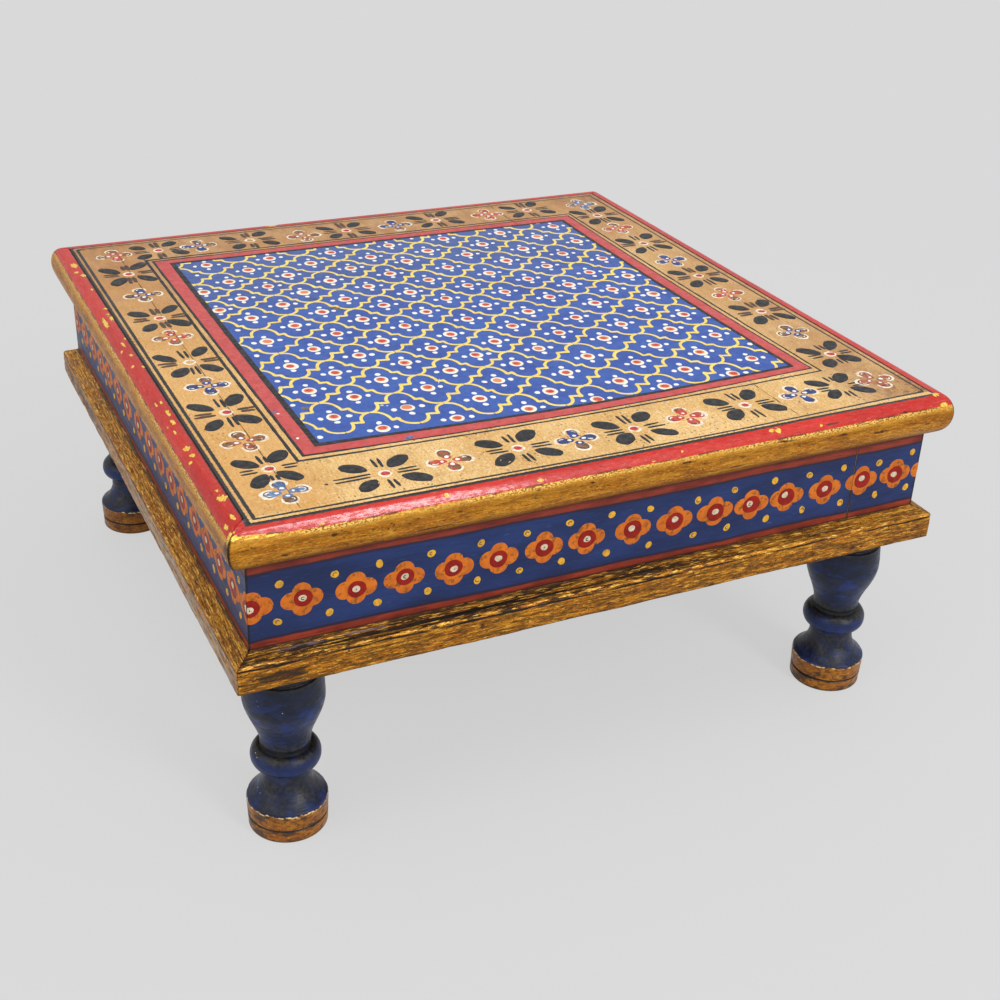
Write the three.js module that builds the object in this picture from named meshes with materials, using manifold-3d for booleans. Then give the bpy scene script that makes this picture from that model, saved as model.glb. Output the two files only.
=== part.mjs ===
// A bajot: a low square table whose painted boards stand on a box frame and four turned legs.
// Millimetres, +Z up. The origin is on the floor under the middle of the table; the front is at -Y.

import * as THREE from 'three';
import { mergeVertices } from 'three/addons/utils/BufferGeometryUtils.js';
import Module from 'manifold-3d';

const wasm = await Module();
wasm.setup();

// Fits
const fitGap = 0.3; // between pieces that meet
const cutOverrun = 2; // how far a cutting body runs past the surface it opens

// Box frame
const boxWidth = 362; // over the outer faces of the aprons and posts
const boxHeight = 60.7;
const apronThickness = 18;
const postWidth = 42; // the square block over each leg

// Tenons of the aprons
const tenonLengthShare = 0.38; // of the post's width
const tenonThickness = 8;
const tenonShoulder = 10; // above and below each tenon

// Top
const topThickness = 22;
const leftBoardWidth = 25.5;
const rightBoardWidth = 81.5;
const edgingFlat = 2.5; // the part of the edging that is level with the boards
const edgingRound = 7; // how far its half round stands out from there

// Battens under the top
const battenWidth = 40;
const battenThickness = 16;
const battenSpacing = 150;

// Base moulding
const mouldingHeight = 17.2;
const mouldingReach = 8.4;
const mouldingSlopeDrop = 2.8;
const mouldingNose = 1.9;
const mouldingEase = 1.2; // rounding of its lower edge

// Turned leg, from the floor up
const footRadius = 19.85;
const footBandHeight = 15.5;
const footEase = 1.2; // rounding of the edge on the floor
const footTaper = 0.6; // how much narrower the foot is at the floor
const footGrooveHeight = 7;
const footGrooveWidth = 1.4;
const footGrooveDepth = 0.9;
const shoulderHeight = 1.9;
const shoulderInset = 0.9;
const flareHeight = 13.6;
const flarePower = 2.4; // how sharply the flare hollows
const coveRadius = 11.9;
const coveRise = 4;
const beadHeight = 11.2;
const beadRadius = 17.05;
const throatRadius = 12.4;
const throatHeight = 2.8;
const swellHeight = 26;
const bulbRadius = 19.7;
const crownHeight = 13.3;
const crownRadius = 18.6;
const collarGrooveWidth = 1.5;
const collarGrooveDepth = 1.3;
const collarHeight = 9.5;
const collarRadius = 18.4;

// Round spigot on top of each leg, glued up into the post
const spigotRadiusShare = 0.16; // of the post's width
const spigotLengthShare = 0.45; // of the box's height

// Fasteners
const nailDiameter = 2.4;
const nailHeadDiameter = 5;
const nailHeadHeight = 1.2;
const nailBite = 20; // how far a nail goes into the apron
const nailSet = 0.8; // how far a head lies under the surface
const bradDiameter = 1.8;
const bradHeadDiameter = 3;
const bradHeadHeight = 0.8;
const bradBite = 12;
const screwDiameter = 4;
const screwHeadDiameter = 8;
const screwHeadHeight = 2.6;
const screwBite = 12;

// Places along a side, as shares of half the box's width
const nailPlaceShares = [-0.66, 0.66];
const edgingBradPlaceShares = [-0.5, 0.5];
const mouldingBradPlaceShares = [-0.4, 0.4];
const screwPlaceShares = [-0.6, 0.1, 0.76];
const mouldingBradHeightShare = 0.42;

// How finely round shapes are cut
const legSegments = 24;
const swellSteps = 6;
const flareSteps = 5;
const beadSteps = 8;
const crownSteps = 2;
const easeSteps = 2;
const noseSteps = 4;
const halfRoundSteps = 12;
const fastenerSegments = 8;
const screwSegments = 10;

// What follows from them
const boxHalf = boxWidth / 2;
const flareTop = footBandHeight + shoulderHeight + flareHeight;
const beadBottom = flareTop + coveRise;
const beadTop = beadBottom + beadHeight;
const throatTop = beadTop + throatHeight;
const swellTop = throatTop + swellHeight;
const crownTop = swellTop + crownHeight;
const collarBottom = crownTop + collarGrooveWidth;
const legHeight = collarBottom + collarHeight;
const boxTop = legHeight + boxHeight;
const tableHeight = boxTop + topThickness;
const postInner = boxHalf - postWidth;
const postAxis = boxHalf - postWidth / 2;
const apronMiddle = boxHalf - apronThickness / 2;
const apronInner = boxHalf - apronThickness;
const edgingDepth = edgingFlat + edgingRound;
const tenonLength = tenonLengthShare * postWidth;
const tenonHeight = boxHeight - fitGap - 2 * tenonShoulder;
const tenonMiddle = legHeight + tenonShoulder + tenonHeight / 2;
const spigotRadius = spigotRadiusShare * postWidth;
const spigotTop = legHeight + spigotLengthShare * boxHeight;

// Finishes
function finish(color, roughness, metalness = 0) {
  return new THREE.MeshStandardMaterial({ color, roughness, metalness });
}

const ochrePaint = finish('#c79a55', 0.5);
const redPaint = finish('#c2383b', 0.4);
const bluePaint = finish('#2b3c73', 0.5);
const goldPaint = finish('#b98432', 0.55);
const bareWood = finish('#9a7448', 0.8);
const steel = finish('#8d8d90', 0.4, 1);

// Solids

// Turns a closed three.js geometry into a solid that can be joined and cut.
function solid(geometry) {
  const bare = geometry.index ? geometry.clone() : mergeVertices(geometry);
  for (const name of Object.keys(bare.attributes)) {
    if (name !== 'position') bare.deleteAttribute(name);
  }
  const merged = mergeVertices(bare);
  const vertProperties = Float32Array.from(merged.attributes.position.array);
  const triVerts = Uint32Array.from(merged.index.array);
  return new wasm.Manifold(new wasm.Mesh({ numProp: 3, vertProperties, triVerts }));
}

// Turns a solid back into a three.js geometry.
function geometryOf(body) {
  const { numProp, vertProperties, triVerts } = body.getMesh();
  const geometry = new THREE.BufferGeometry();
  geometry.setAttribute('position', new THREE.BufferAttribute(Float32Array.from(vertProperties), numProp));
  geometry.setIndex(new THREE.BufferAttribute(Uint32Array.from(triVerts), 1));
  geometry.computeVertexNormals();
  return geometry;
}

const join = (bodies) => bodies.reduce((whole, body) => whole.add(body));
const cut = (body, tools) => tools.reduce((rest, tool) => rest.subtract(tool), body);

// A box between two corners.
function block(low, high) {
  const size = high.map((value, axis) => value - low[axis]);
  const middle = high.map((value, axis) => (value + low[axis]) / 2);
  return new THREE.BoxGeometry(...size).translate(...middle);
}

// A solid turned round the Z axis from points given as [radius, height].
function turned(points, segments) {
  const outline = points.map(([radius, height]) => new THREE.Vector2(radius, height));
  return new THREE.LatheGeometry(outline, segments).rotateX(Math.PI / 2);
}

// The same shape on each side of the table: front, right, back and left, by quarter turns.
const sides = ['front', 'right', 'back', 'left'];
const quarterTurn = (index) => index * Math.PI / 2;
const placed = (geometry, index) => geometry.clone().rotateZ(quarterTurn(index));

function mesh(name, geometry, material) {
  const piece = new THREE.Mesh(geometry, material);
  piece.name = name;
  return piece;
}

// Fasteners

const nail = {
  diameter: nailDiameter,
  headDiameter: nailHeadDiameter,
  headHeight: nailHeadHeight,
  length: topThickness - nailSet + nailBite,
  segments: fastenerSegments,
};
const edgingBrad = {
  diameter: bradDiameter,
  headDiameter: bradHeadDiameter,
  headHeight: bradHeadHeight,
  length: edgingDepth - nailSet + bradBite,
  segments: fastenerSegments,
};
const mouldingBrad = { ...edgingBrad, length: mouldingReach - nailSet + bradBite };
const screw = {
  diameter: screwDiameter,
  headDiameter: screwHeadDiameter,
  headHeight: screwHeadHeight,
  length: battenThickness - nailSet + screwBite,
  segments: screwSegments,
  cone: true,
};

// The underside of a head: a flat ring on a nail or brad, nothing more than the cone on a screw.
function underHead({ cone }, shank, head, height) {
  return cone ? [[shank, height]] : [[shank, height], [head, height]];
}

// A nail, brad or screw that points down -Z, with the top of its head at the origin.
function fastener(kind) {
  const shank = kind.diameter / 2;
  const head = kind.headDiameter / 2;
  const tip = [[0, -kind.length], [shank, -kind.length + kind.diameter]];
  const seat = underHead(kind, shank, head, -kind.headHeight);
  return turned([...tip, ...seat, [head, 0], [0, 0]], kind.segments);
}

// The hole for it, a gap wider all round, open above the head and one gap deeper than the tip.
function fastenerHole(kind) {
  const shank = kind.diameter / 2 + fitGap;
  const head = kind.headDiameter / 2 + fitGap;
  const bottom = -kind.length - fitGap;
  const seat = underHead(kind, shank, head, -kind.headHeight - fitGap);
  const mouth = [[head, 0], [head, cutOverrun], [0, cutOverrun]];
  return turned([[0, bottom], [shank, bottom], ...seat, ...mouth], kind.segments);
}

// Moves a fastener or its hole to a place on the front; the other sides turn it.
function nailAt(share, shape) {
  return shape.clone().translate(share * boxHalf, -apronMiddle, tableHeight - nailSet);
}

function bradAt(share, shape, reach, height) {
  return shape.clone().rotateX(Math.PI / 2).translate(share * boxHalf, -(boxHalf + reach - nailSet), height);
}

function edgingBradAt(share, shape) {
  return bradAt(share, shape, edgingDepth, tableHeight - topThickness / 2);
}

function mouldingBradAt(share, shape) {
  return bradAt(share, shape, mouldingReach, legHeight + mouldingBradHeightShare * mouldingHeight);
}

const battenRows = [-battenSpacing / 2, battenSpacing / 2];
const battenTop = boxTop - fitGap;
const battenBottom = battenTop - battenThickness;
const screwPlaces = battenRows.flatMap((row) => screwPlaceShares.map((share) => [share, row]));

// A screw goes up through a batten into a board.
function screwAt([share, row], shape) {
  return shape.clone().rotateX(Math.PI).translate(share * boxHalf, row, battenBottom + nailSet);
}

function onAllSides(shares, place, shape) {
  return sides.flatMap((side, index) => shares.map((share) => placed(place(share, shape), index)));
}

function holesOnAllSides(shares, place, kind) {
  return onAllSides(shares, place, fastenerHole(kind)).map(solid);
}

const nailHoles = holesOnAllSides(nailPlaceShares, nailAt, nail);
const edgingBradHoles = holesOnAllSides(edgingBradPlaceShares, edgingBradAt, edgingBrad);
const mouldingBradHoles = holesOnAllSides(mouldingBradPlaceShares, mouldingBradAt, mouldingBrad);
const screwHoles = screwPlaces.map((place) => solid(screwAt(place, fastenerHole(screw))));

// Top boards

// The boards run from front to back, and lie side by side over the whole box.
function topBoard(left, right) {
  const trim = (value) => (Math.abs(value) < boxHalf ? fitGap / 2 : 0);
  const low = [left + trim(left), -boxHalf, boxTop];
  const high = [right - trim(right), boxHalf, tableHeight];
  const board = solid(block(low, high));
  return geometryOf(cut(board, [...nailHoles, ...edgingBradHoles, ...screwHoles]));
}

const leftSeam = -boxHalf + leftBoardWidth;
const rightSeam = boxHalf - rightBoardWidth;
const topBoards = [
  mesh('top_board_left', topBoard(-boxHalf, leftSeam), ochrePaint),
  mesh('top_board_center', topBoard(leftSeam, rightSeam), ochrePaint),
  mesh('top_board_right', topBoard(rightSeam, boxHalf), ochrePaint),
];

// Mitred strips round the box

// The section has [distance from the box, height]; its ends are cut along the diagonals of the table.
function mitredStrip(section) {
  const outline = new THREE.Shape(section.map(([out, height]) => new THREE.Vector2(out, height)));
  const strip = new THREE.ExtrudeGeometry(outline, { depth: 1, steps: 1, bevelEnabled: false });
  const corners = strip.attributes.position;
  for (let i = 0; i < corners.count; i++) {
    const distance = boxHalf + corners.getX(i);
    const end = corners.getZ(i) > 0 ? -1 : 1;
    corners.setXYZ(i, end * (distance - fitGap), -distance, corners.getY(i));
  }
  return strip;
}

function edgingSection() {
  const half = topThickness / 2;
  const start = fitGap;
  const round = [];
  for (let i = 0; i <= halfRoundSteps; i++) {
    const angle = Math.PI * (i / halfRoundSteps) - Math.PI / 2;
    round.push([edgingFlat + edgingRound * Math.cos(angle), boxTop + half + half * Math.sin(angle)]);
  }
  return [[start, boxTop], ...round, [start, tableHeight]];
}

function mouldingSection() {
  const noseTop = mouldingHeight - mouldingSlopeDrop;
  const nose = [];
  for (let i = 0; i <= noseSteps; i++) {
    const angle = (Math.PI / 2) * (1 - i / noseSteps);
    const out = mouldingReach - mouldingNose + mouldingNose * Math.cos(angle);
    nose.push([out, legHeight + noseTop - mouldingNose + mouldingNose * Math.sin(angle)]);
  }
  const ease = [];
  for (let i = 0; i <= easeSteps; i++) {
    const angle = (Math.PI / 2) * (i / easeSteps);
    const out = mouldingReach - mouldingEase + mouldingEase * Math.cos(angle);
    ease.push([out, legHeight + mouldingEase - mouldingEase * Math.sin(angle)]);
  }
  return [[fitGap, legHeight], [fitGap, legHeight + mouldingHeight], ...nose, ...ease].reverse();
}

function strips(prefix, section, holes, material) {
  const strip = mitredStrip(section);
  return sides.map((side, index) => {
    const body = cut(solid(placed(strip, index)), holes);
    return mesh(prefix + side, geometryOf(body), material);
  });
}

const edgings = strips('top_edging_', edgingSection(), edgingBradHoles, redPaint);
const mouldings = strips('base_moulding_', mouldingSection(), mouldingBradHoles, goldPaint);

// Aprons

// Each apron fills the space between two posts, and has a tenon into each.
function apronBody() {
  const end = postInner - fitGap;
  const rail = block([-end, -boxHalf, legHeight], [end, -apronInner, boxTop - fitGap]);
  const reach = postInner + tenonLength;
  const cheek = tenonThickness / 2;
  const low = [-reach, -apronMiddle - cheek, legHeight + tenonShoulder];
  const high = [reach, -apronMiddle + cheek, legHeight + tenonShoulder + tenonHeight];
  return join([solid(rail), solid(block(low, high))]);
}

const aprons = sides.map((side, index) => {
  const body = solid(placed(geometryOf(apronBody()), index));
  return mesh('apron_' + side, geometryOf(cut(body, [...nailHoles, ...mouldingBradHoles])), bluePaint);
});

// Legs

const steps = (count) => Array.from({ length: count + 1 }, (unused, i) => i / count);
const mix = (from, to, share) => from + (to - from) * share;
const smooth = (share) => share * share * (3 - 2 * share);

// The foot: a rounded edge on the floor, a slight taper and an incised line round the band.
function footOutline() {
  const floorRadius = footRadius - footTaper;
  const radiusAt = (height) => mix(floorRadius, footRadius, height / footBandHeight);
  const edge = steps(easeSteps).map((share) => {
    const angle = (Math.PI / 2) * (1 - share);
    const out = radiusAt(footEase) - footEase;
    return [out + footEase * Math.cos(angle), footEase - footEase * Math.sin(angle)];
  });
  const low = footGrooveHeight - footGrooveWidth / 2;
  const high = footGrooveHeight + footGrooveWidth / 2;
  const groove = [
    [radiusAt(low), low],
    [radiusAt(footGrooveHeight) - footGrooveDepth, footGrooveHeight],
    [radiusAt(high), high],
  ];
  return [[0, 0], ...edge, ...groove, [footRadius, footBandHeight]];
}

// Above the foot a rounded shoulder, and a flare that hollows up to the cove.
function flareOutline() {
  const start = footBandHeight + shoulderHeight;
  return steps(flareSteps).map((share) => {
    const radius = mix(coveRadius, footRadius - shoulderInset, Math.pow(1 - share, flarePower));
    return [radius, start + flareHeight * share];
  });
}

function beadOutline() {
  return steps(beadSteps).map((share) => {
    const radius = mix(throatRadius, beadRadius, Math.sin(Math.PI * share));
    return [radius, beadBottom + (beadHeight / 2) * (1 - Math.cos(Math.PI * share))];
  });
}

// The vase: a throat that swells to the bulb, and the bulb's crown up to the collar.
function vaseOutline() {
  const swell = steps(swellSteps).map((share) => [
    mix(throatRadius, bulbRadius, smooth(share)),
    throatTop + swellHeight * share,
  ]);
  const crown = steps(crownSteps).slice(1).map((share) => [
    mix(bulbRadius, crownRadius, share * share),
    swellTop + crownHeight * share,
  ]);
  const grooveRadius = Math.min(crownRadius, collarRadius) - collarGrooveDepth;
  const groove = [[grooveRadius, crownTop + collarGrooveWidth / 2], [collarRadius, collarBottom]];
  return [...swell, ...crown, ...groove];
}

// The front left leg in one turning, from the foot to the spigot.
function turnedLeg() {
  const collarTop = legHeight - fitGap;
  const outline = [
    ...footOutline(),
    ...flareOutline(),
    ...beadOutline(),
    ...vaseOutline(),
    [collarRadius, collarTop],
    [spigotRadius, collarTop],
    [spigotRadius, spigotTop],
    [0, spigotTop],
  ];
  return turned(outline, legSegments).translate(-postAxis, -postAxis, 0);
}

const corners = ['front_left', 'front_right', 'back_right', 'back_left'];
const legs = corners.map((corner, index) => mesh('leg_' + corner, placed(turnedLeg(), index), bluePaint));

// Posts

// The front left post, with the bore for its leg's spigot.
function postBody() {
  const post = block([-boxHalf, -boxHalf, legHeight], [-postInner, -postInner, boxTop - fitGap]);
  const radius = spigotRadius + fitGap;
  const top = spigotTop + fitGap;
  const low = legHeight - cutOverrun;
  const bore = turned([[0, low], [radius, low], [radius, top], [0, top]], legSegments);
  return cut(solid(post), [solid(bore.translate(-postAxis, -postAxis, 0))]);
}

// A mortise in the post at one end of an apron.
function mortise(index, end) {
  const cheek = tenonThickness / 2 + fitGap;
  const near = postInner - cutOverrun;
  const far = postInner + tenonLength + fitGap;
  const low = [end > 0 ? near : -far, -apronMiddle - cheek, tenonMiddle - tenonHeight / 2 - fitGap];
  const high = [end > 0 ? far : -near, -apronMiddle + cheek, tenonMiddle + tenonHeight / 2 + fitGap];
  return solid(placed(block(low, high), index));
}

const mortises = sides.flatMap((side, index) => [mortise(index, -1), mortise(index, 1)]);
const posts = corners.map((corner, index) => {
  const body = solid(placed(geometryOf(postBody()), index));
  return mesh('post_' + corner, geometryOf(cut(body, mortises)), bluePaint);
});

// Battens, which hold the three boards level

function batten(row) {
  const end = apronInner - fitGap;
  const low = [-end, row - battenWidth / 2, battenBottom];
  const high = [end, row + battenWidth / 2, battenTop];
  return geometryOf(cut(solid(block(low, high)), screwHoles));
}

const battens = [
  mesh('top_batten_front', batten(battenRows[0]), bareWood),
  mesh('top_batten_back', batten(battenRows[1]), bareWood),
];

// Fasteners in their places

function fastenersOnAllSides(prefix, shares, place, kind) {
  return onAllSides(shares, place, fastener(kind)).map((geometry, i) => {
    const side = sides[Math.floor(i / shares.length)];
    return mesh(prefix + side + '_' + (i % shares.length + 1), geometry, steel);
  });
}

const battenScrews = screwPlaces.map((place, i) => {
  const row = place[1] < 0 ? 'front_' : 'back_';
  const name = 'batten_screw_' + row + (i % screwPlaceShares.length + 1);
  return mesh(name, screwAt(place, fastener(screw)), steel);
});

const fasteners = [
  ...fastenersOnAllSides('top_nail_', nailPlaceShares, nailAt, nail),
  ...fastenersOnAllSides('edging_brad_', edgingBradPlaceShares, edgingBradAt, edgingBrad),
  ...fastenersOnAllSides('moulding_brad_', mouldingBradPlaceShares, mouldingBradAt, mouldingBrad),
  ...battenScrews,
];

const table = new THREE.Group();
table.add(...topBoards, ...edgings, ...aprons, ...mouldings, ...posts, ...legs, ...battens, ...fasteners);
export default table;
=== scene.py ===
"""The painted low table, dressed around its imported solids. Lengths are in mm until a mesh is made."""

import math

import bmesh
import bpy
import numpy as np
from mathutils import Matrix


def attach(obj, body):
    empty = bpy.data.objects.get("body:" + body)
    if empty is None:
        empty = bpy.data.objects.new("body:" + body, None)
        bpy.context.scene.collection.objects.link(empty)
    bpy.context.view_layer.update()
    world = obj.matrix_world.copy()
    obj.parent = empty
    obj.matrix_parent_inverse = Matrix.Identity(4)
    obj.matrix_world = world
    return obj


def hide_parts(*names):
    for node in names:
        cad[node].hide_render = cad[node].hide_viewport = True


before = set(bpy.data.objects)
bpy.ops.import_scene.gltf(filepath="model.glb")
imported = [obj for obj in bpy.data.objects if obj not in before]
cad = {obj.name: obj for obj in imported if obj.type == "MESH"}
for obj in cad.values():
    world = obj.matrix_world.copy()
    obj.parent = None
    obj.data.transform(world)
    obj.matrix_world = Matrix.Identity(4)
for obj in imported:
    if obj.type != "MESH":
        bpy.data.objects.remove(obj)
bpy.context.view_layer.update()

MM = 0.001
SIDES = ("front", "right", "back", "left")
CORNERS = ("front_left", "front_right", "back_right", "back_left")

BOX = 181.0          # half the width of the box frame
TOP = 181.72         # the painted ground of the top; layers of paint lie above it
BOX_TOP = 160.0
BOX_BOTTOM = 99.3
EDGE_FLAT = 2.5      # the level part of the edging
EDGE_ROUND = 7.0     # how far its half round stands out from there
POST_INNER = 139.0
POST_AXIS = 160.0
HEIGHT = 182.0       # of the whole table; the places on the sides are written as depths below it
SEAMS = (-155.5, 99.5)    # between the boards, in mm from the middle
MITRE_GAP = 0.07     # left between two mitred ends
COAT = 0.1           # how thick the paint lies on the sides
LAP = 0.45           # how far the edging reaches in over the boards
CORNER_RADIUS = 0.3  # of a strip round a corner of the box, before its rounding
BOARD_INSET = 0.5    # how far the boards stay inside the box
SEAM_HALF = 0.06     # half the gap between two boards
CRACK_HALF = 0.2     # half the crack in the paint over a post's seam
BARE = (0.18105, 0.1813)    # heights in metres between which the wood in a seam turns to paint
RIM_START = 5.55     # the run of the first corner in the edging's and the moulding's section
MOULDING_START = 5.5
EDGE_STEPS = 136     # points along each edge of a bowed line


# Noise, the same in each run

def hashed(cells, seed):
    """A value from 0 to 1 for each row of whole numbers."""
    n = np.zeros(cells.shape[0], np.uint32) + np.uint32(seed * 7919 + 17)
    for axis, prime in enumerate((374761393, 668265263, 2246822519)):
        if axis < cells.shape[1]:
            n = (n ^ (cells[:, axis].astype(np.int64).astype(np.uint32)
                      * np.uint32(prime))) * np.uint32(2654435761)
            n ^= n >> np.uint32(15)
    n = (n ^ (n >> np.uint32(13))) * np.uint32(1274126177)
    return (n ^ (n >> np.uint32(16))).astype(float) / 4294967295.0


def noise(points, scale, seed=0, octaves=3, gain=0.5):
    """Smooth value noise from -1 to 1 at points (n, d); scale is the size of a feature in each axis."""
    p = np.atleast_2d(np.asarray(points, float)) / np.asarray(scale, float)
    total = np.zeros(len(p))
    amount = 1.0
    norm = 0.0
    for octave in range(octaves):
        q = p * 2.0 ** octave + 31.7 * octave
        base = np.floor(q)
        part = q - base
        part = part * part * (3 - 2 * part)
        value = np.zeros(len(p))
        for corner in range(2 ** p.shape[1]):
            shift = np.array([(corner >> a) & 1 for a in range(p.shape[1])])
            weight = np.prod(np.where(shift, part, 1 - part), axis=1)
            value += weight * hashed(base + shift, seed + octave)
        total += amount * (2 * value - 1)
        norm += amount
        amount *= gain
    return total / norm


def lengths(line):
    """How far along a line of points each of them lies."""
    return np.r_[0, np.cumsum(np.hypot(*np.diff(line, axis=0).T))]


def circle(x, y, radius, angles):
    """Points round a place; the radius may be a pair, for an ellipse."""
    wide, high = radius if isinstance(radius, tuple) else (radius, radius)
    return np.array([(x + math.cos(a) * wide, y + math.sin(a) * high) for a in angles])


def smooth(low, high, value):
    t = np.clip((np.asarray(value, float) - low) / (high - low), 0, 1)
    return t * t * (3 - 2 * t)


# Nodes

class Shader:
    """A material under construction: each method adds nodes and returns the socket that carries its result.

    Noise and places are read from `source`: "Object" in metres, or "UV", the run of a strip in mm.
    Colours are written as they look, 0 to 255. A stretch of one number is along the first axis.
    """

    def __init__(self, name, source="Object"):
        self.material = bpy.data.materials.new(name)
        self.material.use_nodes = True
        self.tree = self.material.node_tree
        self.surface = self.tree.nodes["Principled BSDF"]
        self.coords = self.tree.nodes.new("ShaderNodeTexCoord")
        self.source = source

    def put(self, node, socket, value):
        if isinstance(value, bpy.types.NodeSocket):
            self.tree.links.new(value, node.inputs[socket])
        else:
            node.inputs[socket].default_value = value

    def add(self, kind, settings=None, **inputs):
        node = self.tree.nodes.new("ShaderNode" + kind)
        for key, value in (settings or {}).items():
            setattr(node, key, value)
        for key, value in inputs.items():
            self.put(node, int(key[1:]) if key[0] == "i" and key[1:].isdigit() else key.replace("_", " "),
                     value)
        return node

    def texture(self, kind, size, stretch, shift, source, **inputs):
        """A texture node; size is the feature size in mm, and stretch multiplies it on each axis."""
        source = source or self.source
        unit = 1 / MM if source == "Object" else 1.0
        stretch = stretch if isinstance(stretch, tuple) else (stretch, 1, 1)
        place = self.add("Mapping", Vector=self.coords.outputs[source],
                         Scale=tuple(unit / (size * s) for s in stretch),
                         Location=(*shift, 0)[:3])
        return self.add(kind, Vector=place.outputs["Vector"], Scale=1.0, **inputs)

    def noise(self, size, stretch=1, detail=3.0, rough=0.55, shift=(0, 0), source=None):
        return self.texture("TexNoise", size, stretch, shift, source, Detail=detail,
                            Roughness=rough).outputs["Fac"]

    def cells(self, size, stretch=1, shift=(0, 0)):
        return self.texture("TexVoronoi", size, stretch, shift, None).outputs["Distance"]

    def axis(self, which):
        return self.add("SeparateXYZ", Vector=self.coords.outputs[self.source]).outputs[which]

    def attribute(self, name):
        return self.add("Attribute", {"attribute_name": name}).outputs["Fac"]

    def math(self, operation, a, b=0.0, clamp=False):
        return self.add("Math", {"operation": operation, "use_clamp": clamp}, i0=a, i1=b).outputs[0]

    def plus(self, a, b):
        return self.math("ADD", a, b)

    def minus(self, a, b):
        return self.math("SUBTRACT", a, b)

    def times(self, first, *others, clamp=False):
        for other in others:
            first = self.math("MULTIPLY", first, other, clamp)
        return first

    def most(self, a, b):
        return self.math("MAXIMUM", a, b)

    def off(self, value, middle=None):
        """How far a value lies from the middle, or from 0."""
        return self.math("ABSOLUTE", value if middle is None else self.minus(value, middle))

    def raised(self, value, amount, *noise, **more):
        """A value with noise added."""
        return self.plus(value, self.times(self.noise(*noise, **more), amount))

    def stirred(self, value, amount, *noise, **more):
        """A value that noise moves up and down."""
        return self.plus(value, self.times(self.minus(self.noise(*noise, **more), 0.5), amount))

    def span(self, value, low, high, to_low=0.0, to_high=1.0):
        """A smooth step from one value to another, between low and high."""
        node = self.add("MapRange", {"interpolation_type": "SMOOTHSTEP"}, Value=value)
        for socket, number in zip(("From Min", "From Max", "To Min", "To Max"), (low, high, to_low, to_high)):
            node.inputs[socket].default_value = number
        return node.outputs["Result"]

    def within(self, value, low, low_end, high, high_end):
        """1 between low_end and high, and 0 below low and above high_end."""
        return self.times(self.span(value, low, low_end), self.span(value, high, high_end, 1, 0))

    def patches(self, limits, *noise, **more):
        """Noise cut off smoothly between two limits; a third and a fourth number are the values there."""
        return self.span(self.noise(*noise, **more), *limits)

    def mix(self, factor, a, b):
        node = self.add("Mix", {"data_type": "RGBA", "blend_type": "MIX"})
        for socket, value in ((0, factor), (6, a), (7, b)):
            self.put(node, socket, (*srgb(*value), 1.0) if isinstance(value, tuple) else value)
        return node.outputs[2]

    def bump(self, height, strength, distance, normal=None):
        node = self.add("Bump", Height=height, Strength=strength, Distance=distance)
        if normal is not None:
            self.put(node, "Normal", normal)
        return node.outputs["Normal"]

    def finish(self, color, roughness, normal, specular=0.5, metallic=0.0, coat=0.0, coat_rough=0.2):
        for socket, value in (("Base Color", color), ("Roughness", roughness), ("Normal", normal),
                              ("Metallic", metallic), ("Coat Weight", coat)):
            self.put(self.surface, socket, value)
        self.surface.inputs["Specular IOR Level"].default_value = specular
        self.surface.inputs["Coat Roughness"].default_value = coat_rough
        return self.material


def srgb(red, green, blue):
    """A colour written as it looks, 0 to 255."""
    def linear(value):
        v = value / 255
        return v / 12.92 if v <= 0.04045 else ((v + 0.055) / 1.055) ** 2.4
    return (linear(red), linear(green), linear(blue))


# Meshes

def piece(name, verts, faces, material, nodes=(), uv=None, data=None, flat_angle=40):
    """Makes a piece from corners in mm, rides it on the table and hides the parts it stands in for."""
    mesh = bpy.data.meshes.new(name)
    mesh.from_pydata((np.asarray(verts, float) * MM).tolist(), [], [list(map(int, f)) for f in faces])
    mesh.update()
    if uv is not None:
        layer = mesh.uv_layers.new(name="Run")
        layer.data.foreach_set("uv", np.asarray(uv, np.float32).ravel())
    for key, values in (data or {}).items():
        attribute = mesh.attributes.new(key, "FLOAT", "POINT")
        attribute.data.foreach_set("value", np.asarray(values, np.float32))
    shape = bmesh.new()
    shape.from_mesh(mesh)
    bmesh.ops.recalc_face_normals(shape, faces=shape.faces)
    shape.to_mesh(mesh)
    shape.free()
    mesh.polygons.foreach_set("use_smooth", [True] * len(mesh.polygons))
    mesh.set_sharp_from_angle(angle=math.radians(flat_angle))
    mesh.materials.append(material)
    thing = bpy.data.objects.new(name, mesh)
    bpy.context.scene.collection.objects.link(thing)
    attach(thing, "root")
    if nodes:
        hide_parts(*nodes)


def turn(points, side):
    """Turns points from the front to another side by quarter turns about the upright axis."""
    p = np.asarray(points, float)
    x, y, z = p[..., 0], p[..., 1], p[..., 2]
    for _ in range(side % 4):
        x, y = -y, x
    return np.stack([x, y, z], -1)


def lapped(grid, u, s):
    """Corners, faces and UVs of a strip: the grid (n, m, 3) closes round its second axis."""
    n, m = grid.shape[:2]
    i, j = np.meshgrid(np.arange(n - 1), np.arange(m), indexing="ij")
    k = (j + 1) % m
    quads = np.stack([i * m + j, (i + 1) * m + j, (i + 1) * m + k, i * m + k], -1).reshape(-1, 4)
    sk = np.append(s, s[-1] + 1.0)
    uv = np.stack([
        np.stack([u[i], sk[j]], -1), np.stack([u[i + 1], sk[j]], -1),
        np.stack([u[i + 1], sk[j + 1]], -1), np.stack([u[i], sk[j + 1]], -1)], 2).reshape(-1, 2)
    ends = [list(range(m)), list(range(n * m - 1, (n - 1) * m - 1, -1))]
    end_uv = [[u[0], s[q]] for q in range(m)] + [[u[-1], s[q]] for q in range(m - 1, -1, -1)]
    return grid.reshape(-1, 3), quads.tolist() + ends, np.vstack([uv, np.array(end_uv)])


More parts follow.
